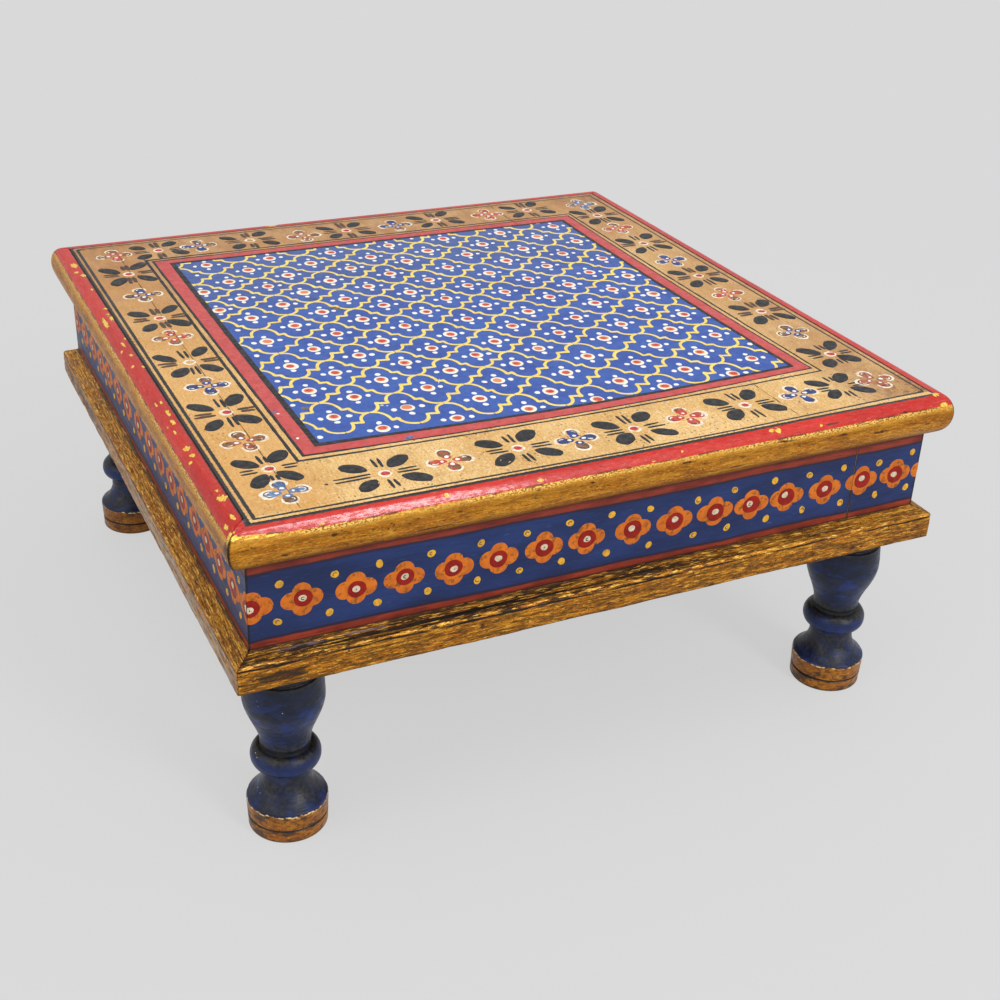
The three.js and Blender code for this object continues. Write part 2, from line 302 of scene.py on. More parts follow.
class Paint:
    """Brush work in one colour: strokes and dabs gathered in one mesh, laid on a surface by `where`."""

    def __init__(self, where, seed, low=-1000.0, high=1000.0):
        self.surface = where
        self.low, self.high = low, high
        self.random = np.random.default_rng(seed)
        self.verts = []
        self.faces = []
        self.tones = []
        self.count = 0

    def where(self, u, v, lift):
        return self.surface(np.clip(u, self.low, self.high), v, lift)

    def _keep(self, points, faces):
        self.verts.append(points)
        self.faces.extend([[q + self.count for q in f] for f in faces])
        self.tones.append(np.full(len(points), self.random.random()))
        self.count += len(points)

    def stroke(self, line, width, base, top, ends=1.0, wobble=0.06):
        """A stroke along a line of (u, v), with its width at each point, rounded on top and at its ends."""
        line = np.asarray(line, float)
        n = len(line)
        width = np.broadcast_to(np.asarray(width, float), (n,)).copy()
        run = lengths(line)
        shift = self.random.random() * 500
        width *= 1 + wobble * noise(np.c_[run + shift], (1.3,), 5, 2)
        if ends:
            tip = np.maximum(width / 2, 1e-3) * ends
            for distance in (run, run[-1] - run):
                t = np.clip(distance / tip, 0.02, 1)
                width *= np.sqrt(1 - (1 - t) ** 2)
        along = np.gradient(line, axis=0)
        along /= np.maximum(np.hypot(*along.T), 1e-9)[:, None]
        across = np.c_[-along[:, 1], along[:, 0]]
        rows = []
        for side, lift in ((-1, 0), (-0.82, 0.75), (0, 1), (0.82, 0.75), (1, 0)):
            uv = line + across * (side * width / 2)[:, None]
            rows.append(self.where(uv[:, 0], uv[:, 1], base + (top - base) * lift * np.ones(n)))
        m = len(rows)
        points = np.stack(rows, 1).reshape(-1, 3)
        faces = []
        for i in range(n - 1):
            for j in range(m):
                k = (j + 1) % m
                faces.append([i * m + k, i * m + j, (i + 1) * m + j, (i + 1) * m + k])
        faces.append(list(range(m)))
        faces.append([(n - 1) * m + j for j in range(m - 1, -1, -1)])
        self._keep(points, faces)

    def dab(self, u, v, radius, base, top, wobble=0.05, steps=22, rise=0.78, turned=0.0):
        """A filled dab; the radius is a number, a pair or a function of the angle."""
        angle = np.arange(steps) * 2 * math.pi / steps
        if callable(radius):
            reach = radius(angle)
        elif isinstance(radius, tuple):
            reach = radius[0] * radius[1] / np.hypot(radius[1] * np.cos(angle), radius[0] * np.sin(angle))
        else:
            reach = np.full(steps, float(radius))
        reach = reach * (1 + wobble * sum(
            self.random.uniform(-1, 1) * np.cos(k * angle + self.random.uniform(0, 6.3)) / k
            for k in (2, 3, 5)))
        du, dv = np.cos(angle + turned) * reach, np.sin(angle + turned) * reach
        rings = [(1.0, 0.0), (0.93, rise), (0.55, 0.97)]
        points = [self.where(u + du * r, v + dv * r, np.full(steps, base + (top - base) * h)) for r,
                  h in rings]
        points.append(self.where(np.array([u]), np.array([v]), np.array([top])))
        points.append(self.where(np.array([u]), np.array([v]), np.array([base])))
        faces = []
        for i in range(steps):
            k = (i + 1) % steps
            for r in range(2):
                faces.append([r * steps + i, r * steps + k, (r + 1) * steps + k, (r + 1) * steps + i])
            faces.append([2 * steps + i, 2 * steps + k, 3 * steps])
            faces.append([k, i, 3 * steps + 1])
        self._keep(np.vstack(points), faces)

    def between(self, inner, outer, base, top):
        """A band between two closed lines of as many points; an inner line of None fills the outer."""
        n = len(outer)
        lift = 0.25
        rows = [(outer, base), (outer + (0 if inner is None else lift * _inward(inner, outer)), top)]
        if inner is not None:
            rows += [(inner - lift * _inward(inner, outer), top), (inner, base)]
        points = np.vstack([self.where(line[:, 0], line[:, 1], np.full(n, h)) for line, h in rows])
        m = len(rows)
        faces = []
        for i in range(n):
            k = (i + 1) % n
            for r in range(m if inner is not None else m - 1):
                q = (r + 1) % m
                faces.append([r * n + i, r * n + k, q * n + k, q * n + i])
        if inner is None:
            faces.append([n + i for i in range(n)])
            faces.append([n - 1 - i for i in range(n)])
        self._keep(points, faces)

    def make(self, name, material, slot):
        piece(name, np.vstack(self.verts), self.faces, material,
              data={"tone": np.concatenate(self.tones)})


def _inward(inner, outer):
    d = inner - outer
    return d / np.maximum(np.hypot(*d.T), 1e-9)[:, None]


def path(*corners, step=1.0):
    """Points along a broken line, about a step apart."""
    corners = np.asarray(corners, float)
    out = []
    for a, b in zip(corners[:-1], corners[1:]):
        n = max(1, int(math.ceil(np.hypot(*(b - a)) / step)))
        out.append(a + (b - a) * (np.arange(n) / n)[:, None])
    return np.vstack(out + [corners[-1:]])


# Surfaces that paint lies on

def on_top(x, y, height):
    """The painted top: level over the boards, and following the edging where it begins to round."""
    out = np.clip((np.maximum(np.abs(x), np.abs(y)) - BOX - EDGE_FLAT) / EDGE_ROUND, 0, 0.98)
    drop = (TOP - BOX_TOP) / 2 * (1 - np.sqrt(1 - out ** 2))
    return np.stack([x, y, height - drop], -1)


def on_side(side):
    """The outer face of an apron: u along it, z up, lift outwards."""
    def where(u, z, lift):
        return turn(np.stack([u, -(BOX + lift), z], -1), side)
    return where


# Strips mitred round the box

# for each side: places along it, how far out the outer and the inner black line run there, half widths
RIM = (
    ((-181, -140, 0, 60, 100, 150, 181), (4.5, 4.6, 4.8, 4.3, 3.7, 3.3, 3.0),
     (1.6, 1.7, 2.8, 2.0, 0.9, -0.9, -1.6), 0.8, 0.7),
    ((-181, 181), (-0.8, -1.0), (-4.0, -5.0), 0.7, 0.65),
    ((-181, 181), (-1.0, -1.0), (-5.0, -4.0), 0.6, 0.55),
    ((-181, 181), (-1.4, -1.2), (-4.7, -4.8), 1.35, 0.95),
)
GRIME = (    # soiled places of the top: x, y, reach in x and y, amount
    (176, -176, 26, 22, 0.9), (150, -150, 22, 16, 0.35), (-172, 176, 20, 12, 0.45), (172, 172, 24, 14, 0.5),
    (0, 181, 220, 10, 0.5), (181, 40, 7, 160, 0.3), (-30, -176, 60, 8, 0.15), (165, -120, 12, 25, 0.3),
)


def run_places():
    """Places along a strip as shares of half its length, close together at the mitres."""
    ends = np.array([0, 0.12, 0.28, 0.5, 0.8, 1.2, 1.7, 2.3, 3.0, 3.8, 4.7, 5.6, 6.6, 7.6, 8.6]) / 190
    half = np.r_[1 - ends, np.linspace(1 - 9.6 / 190, 0, 200)]
    return np.r_[-half[:-1], half[::-1]]


def sweep(section, start, side, rounding, relief):
    """A strip along one side; section is (m, 2), distance out from the box and height, round the strip."""
    out, z = section.T
    after, before = np.roll(section, -1, 0), np.roll(section, 1, 0)
    tangent = after - before
    tangent /= np.hypot(*tangent.T)[:, None]
    normal = np.c_[-tangent[:, 1], tangent[:, 0]]
    centre = section.mean(0)
    if np.sum((section - centre) * normal) < 0:
        normal = -normal
    s = start + lengths(section)
    corner = CORNER_RADIUS + rounding * np.clip(out + LAP, 0, None)
    straight = BOX + out - corner
    reach = straight + corner * math.pi / 4 - MITRE_GAP
    share = run_places()
    a = share[:, None] * reach[None]
    mitre = reach[None] - np.abs(a)
    lift = relief(a, np.broadcast_to(s, a.shape), side)
    lift = lift - 0.4 * np.exp(-(mitre / 0.3) ** 2) - 0.1 * np.exp(-mitre / 1.6) * (s[None] < 45)
    bend = np.clip((np.abs(a) - straight) / corner, 0, None)
    radius = corner + lift * normal[:, 0]
    sign = np.where(a < 0, -1.0, 1.0)
    x = np.where(bend > 0, sign * (straight + radius * np.sin(bend)), a)
    y = -(straight + radius * np.cos(bend))
    grid = turn(np.stack([x, y, z + lift * normal[:, 1]], -1), side)
    verts, faces, uv = lapped(grid, share * reach.max(), s)
    return verts, faces, uv, mitre.ravel(), np.broadcast_to(s, a.shape).ravel()


def edging_section():
    half = (TOP - BOX_TOP) / 2
    flat = [(o, TOP) for o in (-LAP, 0.3, 1.0, 1.7)]
    angle = np.linspace(math.pi / 2, -math.pi / 2, 52)
    round_ = [(EDGE_FLAT + EDGE_ROUND * math.cos(a), BOX_TOP + half + half * math.sin(a)) for a in angle]
    back = [(1.0, BOX_TOP), (-LAP, BOX_TOP)] + [(-LAP, BOX_TOP + h) for h in (5, 11, 17)]
    return np.array(flat + round_ + back)


def edging_relief(u, s, side):
    p = np.c_[u.ravel(), s.ravel()]
    gold = smooth(16.5, 18.5, p[:, 1])
    shown = smooth(7.0, 10.0, p[:, 1]) * (1 - smooth(34, 38, p[:, 1]))
    lift = 0.16 * noise(p, (70, 30), 11 + side, 2) - 0.05
    lift += (0.02 + 0.02 * gold) * noise(p, (4.5, 1.3), 21 + side, 3)
    pits = smooth(0.42, 0.7, noise(p, (2.6, 1.1), 31 + side, 2)) * (0.25 + 0.75 * gold)
    lift -= 0.22 * pits * smooth(0.0, 0.5, noise(p, (30, 6), 41 + side, 2) + 0.15)
    wear = smooth(0.35, 0.75, noise(p, (9, 3.5), 51 + side, 3)) * (1 - gold) * smooth(9, 12, p[:, 1])
    lift -= 0.1 * wear
    return np.minimum(lift * shown, 0.0).reshape(u.shape)


def moulding_section():
    """From the apron out over the slope and the nose, down the fascia and back underneath."""
    top, nose, ease, reach = 116.5, 1.9, 0.6, 8.4
    slope_end = (reach - nose, top - 2.8)
    back = 0.14
    slope = [(back + (slope_end[0] - back) * t, top - (top - slope_end[1]) * t)
             for t in np.linspace(0, 1, 20)[:-1]]
    round_ = [(reach - nose + nose * math.cos(a), slope_end[1] - nose + nose * math.sin(a))
              for a in np.linspace(math.pi / 2, 0, 10)]
    face = [(reach, z) for z in np.linspace(slope_end[1] - nose, BOX_BOTTOM + ease, 32)[1:-1]]
    lower = [(reach - ease + ease * math.cos(a), BOX_BOTTOM + ease - ease * math.sin(a))
             for a in np.linspace(0, math.pi / 2, 6)]
    rear = [(o, BOX_BOTTOM) for o in (5.2, 3.0, 1.0, back)] + [(back, z) for z in (103, 108, 113)]
    return np.array(slope + round_ + face + lower + rear)


BRAD_HOLES = ((-72.4, 18.4), (72.4, 18.4))


def moulding_relief(u, s, side):
    p = np.c_[u.ravel(), s.ravel()]
    shown = smooth(5.5, 7.5, p[:, 1]) * (1 - smooth(28.5, 30.5, p[:, 1]))
    lift = 0.25 * noise(p, (70, 14), 111 + side, 2) - 0.1
    lift += 0.16 * noise(p, (16, 0.9), 121 + side, 3) + 0.1 * noise(p, (3.0, 0.8), 131 + side, 2)
    crease = 1 - np.abs(noise(p, (60, 2.1), 141 + side, 3)) * 9
    lift -= 0.3 * np.clip(crease, 0, 1) * smooth(-0.2, 0.3, noise(p, (45, 6), 151 + side, 2))
    under = np.exp(-((p[:, 1] - 15.9 - 0.35 * noise(p * (1, 0), (18, 1), 161 + side, 2)) / 0.34) ** 2)
    lift -= 0.36 * under * smooth(-0.55, 0.1, noise(p * (1, 0), (30, 1), 171 + side, 2))
    arris = np.exp(-((p[:, 1] - 14.2) / 1.3) ** 2)
    lift -= 0.45 * arris * smooth(0.1, 0.7, noise(p * (1, 0), (7, 1), 181 + side, 3))
    for at, height in BRAD_HOLES:
        lift -= 0.5 * np.exp(-(((p[:, 0] - at) / 1.5) ** 2 + ((p[:, 1] - height) / 1.4) ** 2) ** 2)
    lower = smooth(24.5, 27.5, p[:, 1]) * (1 - smooth(27.5, 31, p[:, 1]))
    lift -= 0.3 * lower * smooth(-0.3, 0.9, noise(p * (1, 0), (24, 1), 191 + side, 3))
    return (lift * shown).reshape(u.shape)


# Turned legs

def leg_outline():
    """The radius and height of the turning from the floor to the collar, in the sizes of the solid."""
    foot, band, ease, taper = 19.85, 15.5, 1.2, 0.6
    groove_height, groove_cut, groove_half = 7.0, 0.8, 0.5
    shoulder, inset, flare, power = 1.9, 0.9, 13.6, 2.4
    cove, neck, bead, bead_radius, throat, throat_rise = 11.9, 4.0, 11.2, 17.05, 12.4, 2.8
    swell, bulb, crown, crown_radius = 26.0, 19.7, 13.3, 18.6
    groove, groove_depth, collar, collar_radius = 1.5, 1.3, 9.4, 18.4

    def side(z):
        return foot - taper + taper * z / band

    def arch(t):
        return math.sin(math.pi * t)
    points = [(side(ease) - ease + ease * math.sin(a), ease - ease * math.cos(a))
              for a in np.linspace(0, math.pi / 2, 7)]
    for z in np.linspace(ease, band, 44)[1:]:
        points.append((side(z) - groove_cut * math.exp(-((z - groove_height) / groove_half) ** 4), z))
    # how high a part is, its steps, whether its first and last are left out, and the radius at a share of it
    parts = (
        (shoulder, 8, 1, 0, lambda t: foot - inset * (1 - math.sqrt(1 - t ** 2))),
        (flare, 30, 1, 0, lambda t: cove + (foot - inset - cove) * (1 - t) ** power),
        (neck, 10, 1, 1, lambda t: cove + (throat - cove) * t - 0.35 * arch(t)),
        (bead, 34, 0, 0, lambda t: throat + (bead_radius - throat) * arch(t) ** 0.9),
        (throat_rise, 7, 1, 1, lambda t: throat - 0.25 * arch(t)),
        (swell, 40, 0, 0, lambda t: throat + (bulb - throat) * float(smooth(0, 1, t))),
        (crown, 20, 1, 0, lambda t: bulb + (crown_radius - bulb) * t ** 2),
        (groove, 8, 1, 1, lambda t: crown_radius - groove_depth * arch(t) ** 0.6),
        (collar, 16, 0, 0, lambda t: collar_radius - 0.5 * (1 - float(smooth(0, 0.12, t)))),
    )
    base = band
    for rise, steps, first, last, radius in parts:
        for t in np.linspace(0, 1, steps)[first:steps - last]:
            climb = (1 - math.cos(math.pi * t)) / 2 if rise == bead else t
            points.append((radius(t), base + rise * climb))
        base += rise
    return np.array(points)


def leg(name, corner, material):
    outline = leg_outline()
    turns = 112
    angle = np.arange(turns) * 2 * math.pi / turns
    r, z = outline[:, 0][:, None], outline[:, 1][:, None]
    a = np.broadcast_to(angle, (len(outline), turns))
    around = np.stack([np.cos(a) * r, np.sin(a) * r, np.broadcast_to(z, a.shape)], -1).reshape(-1, 3)
    seed = 300 + 10 * corner
    lift = 0.16 * noise(around, (16, 16, 11), seed, 2)
    lift += 0.05 * noise(around, (3, 3, 1.4), seed + 3, 2)
    lift += 0.045 * noise(around * (0, 0, 1), (1, 1, 0.9), seed + 6, 2)
    edge = np.exp(-((around[:, 2] - 16.4) / 0.9) ** 2)
    lift -= 0.3 * edge * smooth(0.05, 0.5, noise(around, (3.2, 3.2, 2.5), seed + 8, 2))
    lift = (lift - 0.16).reshape(a.shape) * np.clip(z / 2, 0, 1)
    radius = r + lift
    grid = np.stack([np.cos(a) * radius, np.sin(a) * radius, np.broadcast_to(z, a.shape)], -1)
    flip = np.array([(-1, -1), (1, -1), (1, 1), (-1, 1)][corner]) * POST_AXIS
    grid = grid + np.array([flip[0], flip[1], 0])
    n = len(outline)
    verts = np.vstack([grid.reshape(-1, 3), [[*flip, 0.0]], [[*flip, outline[-1, 1]]]])
    faces = []
    for i in range(n - 1):
        for j in range(turns):
            k = (j + 1) % turns
            faces.append([i * turns + j, i * turns + k, (i + 1) * turns + k, (i + 1) * turns + j])
    for j in range(turns):
        k = (j + 1) % turns
        faces.append([k, j, n * turns])
        faces.append([(n - 1) * turns + j, (n - 1) * turns + k, n * turns + 1])
    piece(name, verts, faces, material, ["leg_" + CORNERS[corner]], flat_angle=50)


# Boards of the top, and the coat of paint on each side of the box

def rim_lines(x, y, own=None, arc=None):
    """How far outside the two black lines of the rim points lie, each in half widths of its line."""
    places = np.stack([-y, x, y, -x]) - BOX
    along = np.stack([x, y, -x, -y])
    if own is not None:
        places[own] = arc
    found = []
    for line in (1, 2):
        d = np.stack([place - np.interp(u, rim[0], rim[line]) for place, u, rim in zip(places, along, RIM)])
        side = np.argmax(d, axis=0)
        half = np.array([rim[2 + line] for rim in RIM])[side]
        found.append(np.take_along_axis(d, side[None], 0)[0] / half)
    return found


def board(name, left, right, node, material):
    """A board from front to back, with eased and slightly wandering seams."""
    seam_left, seam_right = left > -BOX + 1, right < BOX - 1
    low = left + (SEAM_HALF if seam_left else BOARD_INSET)
    high = right - (SEAM_HALF if seam_right else BOARD_INSET)
    n = 240
    y = np.linspace(-BOX + BOARD_INSET, BOX - BOARD_INSET, n)
    inner = np.linspace(low + 0.6, high - 0.6, max(6, int((high - low) / 3)))
    ease = 0.1
    section = [(low, TOP - 6), (low, TOP - ease), (low + ease, TOP - 0.02)] + [(x, TOP) for x in inner]
    section += [(high - ease, TOP - 0.02), (high, TOP - ease), (high, TOP - 6), (high, BOX_TOP),
                (low, BOX_TOP)]
    section = np.array(section)
    m = len(section)
    x = np.broadcast_to(section[:, 0], (n, m)).copy()
    z = np.broadcast_to(section[:, 1], (n, m)).copy()
    for edge, seam, seed in ((low, seam_left, 61), (high, seam_right, 62)):
        if seam:
            near = np.exp(-((x - edge) / 0.5) ** 2)
            x += near * 0.07 * noise(np.c_[y], (6,), seed, 3)[:, None]
            z -= near * (z > TOP - 1) * 0.1 * smooth(-0.2, 0.8, noise(np.c_[y], (9,), seed + 5, 3))[:, None]
    grid = np.stack([x, np.broadcast_to(y[:, None], (n, m)), z], -1)
    s = lengths(section)
    verts, faces, uv = lapped(grid, y, s)
    outer, inner = rim_lines(verts[:, 0], verts[:, 1])
    grime = sum(np.exp(-(((verts[:, 0] - gx) / rx) ** 2 + ((verts[:, 1] - gy) / ry) ** 2)) * amount
                for gx, gy, rx, ry, amount in GRIME)
    piece(name, verts, faces, material, [node], uv,
          {"outer": outer, "inner": inner, "grime": grime})


def coat(side, cracks, material):
    """The paint on one side of the box, broken where a seam in the wood has opened it."""
    edges = [-BOX, *cracks, BOX]
    for part, (start, stop) in enumerate(zip(edges[:-1], edges[1:])):
        z = np.linspace(BOX_TOP - 0.2, BOX_BOTTOM + 0.2, 42)
        section = np.array([(COAT, h) for h in z] + [(0.0, z[-1]), (0.0, z[0])])
        lift0, height = section.T
        n = max(3, int((stop - start) / 3))
        u0, u1 = np.full(len(section), float(start)), np.full(len(section), float(stop))
        for at, ends, sign in ((start, u0, 1), (stop, u1, -1)):
            if abs(at) == BOX:
                ends -= sign * lift0
            else:
                ends += sign * CRACK_HALF + 0.14 * noise(np.c_[height], (5,), 71 + side, 3)
        share = np.linspace(0, 1, n)[:, None]
        u = u0 + (u1 - u0) * share
        p = np.c_[u.ravel(), np.broadcast_to(height, u.shape).ravel()]
        lift = lift0 + (lift0 > 0) * (0.035 * noise(p, (16, 8), 81 + side, 2)).reshape(u.shape)
        inside = np.clip(np.minimum(u - u0, u1 - u), 0, 1)
        gap = np.min([np.abs(u - at) for at in cracks], 0) if cracks else np.full(u.shape, 9.0)
        lift = lift0 + (lift - lift0) * inside
        grid = turn(np.stack([u, -(BOX + lift), np.broadcast_to(height, u.shape)], -1), side)
        verts, faces, uv = lapped(grid, u[:, 0], lengths(section))
        name = "coat_" + SIDES[side] + ("" if len(edges) == 2 else "_" + str(part + 1))
        piece(name, verts, faces, material, uv=uv, data={"gap": gap.ravel()})


# Materials

def streaks(m, color, dark, size, low, high, amount, stretch, shift=(0, 0), detail=3.0):
    """A darker or lighter colour in the patches of a stretched noise."""
    return m.mix(m.patches((low, high, 0, amount), size, stretch, detail, 0.6, shift), color, dark)


def specks(m, color, dark, size, low, high, amount, stretch=1, shift=(0, 0), part=0.5):
    """Small dots: only in the places where a coarser noise lets them through."""
    spots = m.span(m.cells(size, stretch, shift), low, high, amount, 0)
    where = m.patches((part, part + 0.12), size * 5, stretch, 2, 0.6, shift)
    return m.mix(m.times(spots, where), color, dark)


def black_line(m, color, distance):
    """A black line with ragged edges; the distance is in half widths of the line."""
    reach = m.raised(m.off(distance), 1.0, 1.5, detail=3, source="Object")
    return m.mix(m.span(reach, 1.25, 1.65, 1, 0), color, (44, 44, 46))


def wood(m, along=(1, 14, 1)):
    color = m.mix(m.patches((0.35, 0.65), 14, along, 4), (122, 86, 52), (164, 122, 80))
    color = streaks(m, color, (84, 56, 32), 1.2, 0.52, 0.7, 0.7, along, detail=5)
    return streaks(m, color, (60, 42, 28), 30, 0.55, 0.7, 0.35, 1)


def ochre(m):
    along = (1, 18, 1)
    color = m.mix(m.patches((0.36, 0.64), 42, detail=4), (224, 176, 100), (242, 200, 128))
    color = streaks(m, color, (170, 116, 56), 0.9, 0.5, 0.64, 0.26, along, detail=5)
    color = streaks(m, color, (252, 228, 178), 0.8, 0.52, 0.64, 0.26, along, (9, 4), 4)
    color = streaks(m, color, (252, 232, 188), 1.4, 0.52, 0.62, 0.42, (1, 1.5, 1), (6, 3), 5)
    color = streaks(m, color, (176, 112, 58), 0.8, 0.55, 0.6, 0.58, (1, 1.5, 1), (4, 8), 5)
    color = streaks(m, color, (150, 98, 48), 7, 0.58, 0.72, 0.4, (1, 1.6, 1), (2, 5), 5)
    return specks(m, color, (96, 62, 36), 2.1, 0.12, 0.27, 0.85, (1, 1.6, 1), part=0.48)


def crimson(m, along=(1, 5, 1)):
    color = m.mix(m.patches((0.38, 0.62), 16, along, 4), (186, 30, 20), (204, 42, 28))
    color = streaks(m, color, (150, 20, 14), 1.1, 0.52, 0.66, 0.5, along, (3, 1), 4)
    return specks(m, color, (96, 22, 20), 2.6, 0.1, 0.24, 0.8)


def gilt(m, dark=0.5, long=1.0, fine=1.0):
    """Old gold paint, pitted and with dark streaks along the run of a strip."""
    color = m.mix(m.patches((0.35, 0.65), 9, 5, 4), (180, 106, 12), (206, 138, 28))
    color = streaks(m, color, (126, 72, 8), 1.3, 0.48, 0.56, 0.75 * fine, 8 * long, (1, 0), 6)
    color = streaks(m, color, (244, 190, 76), 0.8, 0.53, 0.6, 0.7 * fine, 5 * long, (4, 7), 5)
    color = streaks(m, color, (78, 44, 8), 0.55, 0.54, 0.6, 0.7 * fine, 2.0, (6, 3), 4)
    color = streaks(m, color, (48, 30, 12), 1.0, 0.62 - 0.1 * dark, 0.66, 0.9, 14 * long, (8, 2), 7)
    return specks(m, color, (40, 26, 14), 1.3, 0.16, 0.34, 0.95, 1.7, part=0.54 - 0.06 * dark)


def top_ground():
    m = Shader("Top_ground")
    color = ochre(m)
    color = m.mix(m.span(m.axis(0), -0.15, -0.132, 0.42, 0), color, (216, 152, 74))
    # painted shade: the ochre turns darker towards the back and the right, in patches
    painted_back_shade = m.most(m.span(m.axis(1), -0.05, 0.17, 0, 0.86), m.span(m.axis(0), 0.12, 0.16, 0, 0.58))
    color = m.mix(m.times(painted_back_shade, m.patches((0.3, 0.7, 0.6, 1.0), 9, (1, 2, 1), 5)), color, (168, 114, 72))
    grime = m.plus(m.attribute("grime"),
                   m.times(m.patches((0.55, 0.75), 26, detail=4, shift=(4, 4)), 0.35))
    blotch = m.patches((0.42, 0.66), 3.5, (1, 1.5, 1), 5, 0.68)
    color = m.mix(m.times(grime, m.span(blotch, 0, 1, 0.3, 1), clamp=True), color, (126, 84, 50))
    outer = m.attribute("outer")
    color = black_line(m, color, m.attribute("inner"))
    color = m.mix(m.span(outer, -0.1, 0.1), color, crimson(m))
    color = black_line(m, color, outer)
    for seam in SEAMS:
        near = m.off(m.axis(0), seam * MM)
        color = m.mix(m.span(near, 0.0001, 0.0004, 0.4, 0), color, (112, 70, 40))
    color = m.mix(m.span(m.axis(2), *BARE, 1, 0), color, wood(m))
    relief = m.bump(m.noise(0.9, (1, 18, 1), 5, 0.62), 0.1, 0.0004)
    relief = m.bump(m.noise(1.3, (1, 1.4, 1), 5, 0.66), 0.26, 0.0004, relief)
    relief = m.bump(m.noise(3.4, (1, 3, 1), 4), 0.12, 0.0006, relief)
    rough = m.patches((0.3, 0.7, 0.42, 0.62), 5, (1, 4, 1), 4)
    return m.finish(color, rough, relief, specular=0.4)


def edging_paint():
    m = Shader("Edging_paint")
    color = black_line(m, ochre(m), m.attribute("inner"))
    m.source = "UV"
    outer, fall = m.attribute("outer"), m.attribute("fall")
    worn = m.stirred(fall, 1.5, 1.0, 1.5, 6, 0.66)
    red = crimson(m, 6)
    red = streaks(m, red, (224, 120, 104), 1.6, 0.54, 0.7, 0.3, 3, (6, 3), 5)
    lacquer = m.span(outer, -0.1, 0.1)
    color = m.mix(lacquer, color, red)
    color = black_line(m, color, outer)
    gold = gilt(m, 0.35, 0.6, 0.62)
    gold = streaks(m, gold, (120, 70, 10), 3.2, 0.5, 0.64, 0.5, 7, (2, 9), 5)
    gold = streaks(m, gold, (232, 172, 60), 2.4, 0.52, 0.66, 0.45, 6, (7, 7), 5)
    # painted highlight: lighter gold on the upper part of the round, just under the red
    upper = m.span(m.raised(worn, 3.0, 5, 4, 4), 2.0, 7.0, 0.5, 0)
    gold = m.mix(upper, gold, (226, 168, 58))
    crest = m.times(m.span(worn, 0.0, 0.2), m.span(worn, 1.0, 3.2, 0.85, 0))
    pale = m.mix(m.patches((0.44, 0.54), 0.8, 1.5, 5, shift=(3, 3)), (134, 80, 20), (250, 208, 112))
    crest = m.times(crest, m.patches((0.36, 0.6, 0.25, 1.0), 7, 3, 4, shift=(1, 7)))
    gold = m.mix(crest, gold, pale)
    middle = m.off(m.axis(1), 22.0)
    gold = m.mix(m.span(middle, 0.5, 3.5, 0.3, 0), gold, (116, 66, 12))
    # painted shade: darker gold where the round turns down and under
    gold = m.mix(m.span(m.axis(1), 27, 33, 0, 0.55), gold, (92, 56, 16))
    gilded = m.span(worn, -0.15, 0.35)
    color = m.mix(gilded, color, gold)
    seam = m.times(m.span(m.off(worn, 0.1), 0.15, 0.7, 0.85, 0),
                   m.patches((0.5, 0.58), 2.6, 4, 5, shift=(5, 1)))
    color = m.mix(seam, color, (88, 40, 20))
    flake = m.stirred(m.attribute("flake"), 2.2, 1.3, 1.6, 5)
    chip = m.mix(m.patches((0.4, 0.6), 1.1, detail=3), (228, 172, 56), (252, 214, 98))
    rim = m.span(flake, 0.0, 0.12)
    color = m.mix(rim, color, (112, 60, 30))
    color = m.mix(m.span(flake, 0.1, 0.24), color, chip)
    mark = m.stirred(m.attribute("mark"), 1.6, 1.2, 2, 5)
    color = m.mix(m.span(mark, 0.05, 0.6, 0, 0.9), color, (58, 32, 20))
    joint = m.raised(m.attribute("mitre"), 0.7, 1.6, detail=4, source="Object")
    joint = m.math("DIVIDE", joint, m.span(m.axis(1), 12.5, 18.0, 0.4, 1.5))
    color = m.mix(m.span(joint, 0.5, 1.1, 0.85, 0), color, (36, 26, 20))
    relief = m.bump(m.noise(0.8, 1.6, 5, 0.62), 0.34, 0.0004)
    relief = m.bump(m.noise(2.8, 2, 4), 0.14, 0.0006, relief)
    rough = m.patches((0.3, 0.7, 0.26, 0.4), 3, 4, 4)
    rough = m.plus(rough, m.times(gilded, 0.1))
    bare = m.minus(1.0, m.most(gilded, rim))
    gloss = m.times(lacquer, bare, m.attribute("shine"))
    gloss = m.times(gloss, m.patches((0.41, 0.58, 0.2, 1.0), 1.4, 2.6, 6, 0.68, (9, 9)))
    return m.finish(color, rough, relief, specular=0.25, metallic=m.times(gilded, 0.4), coat=gloss,
                    coat_rough=0.13)


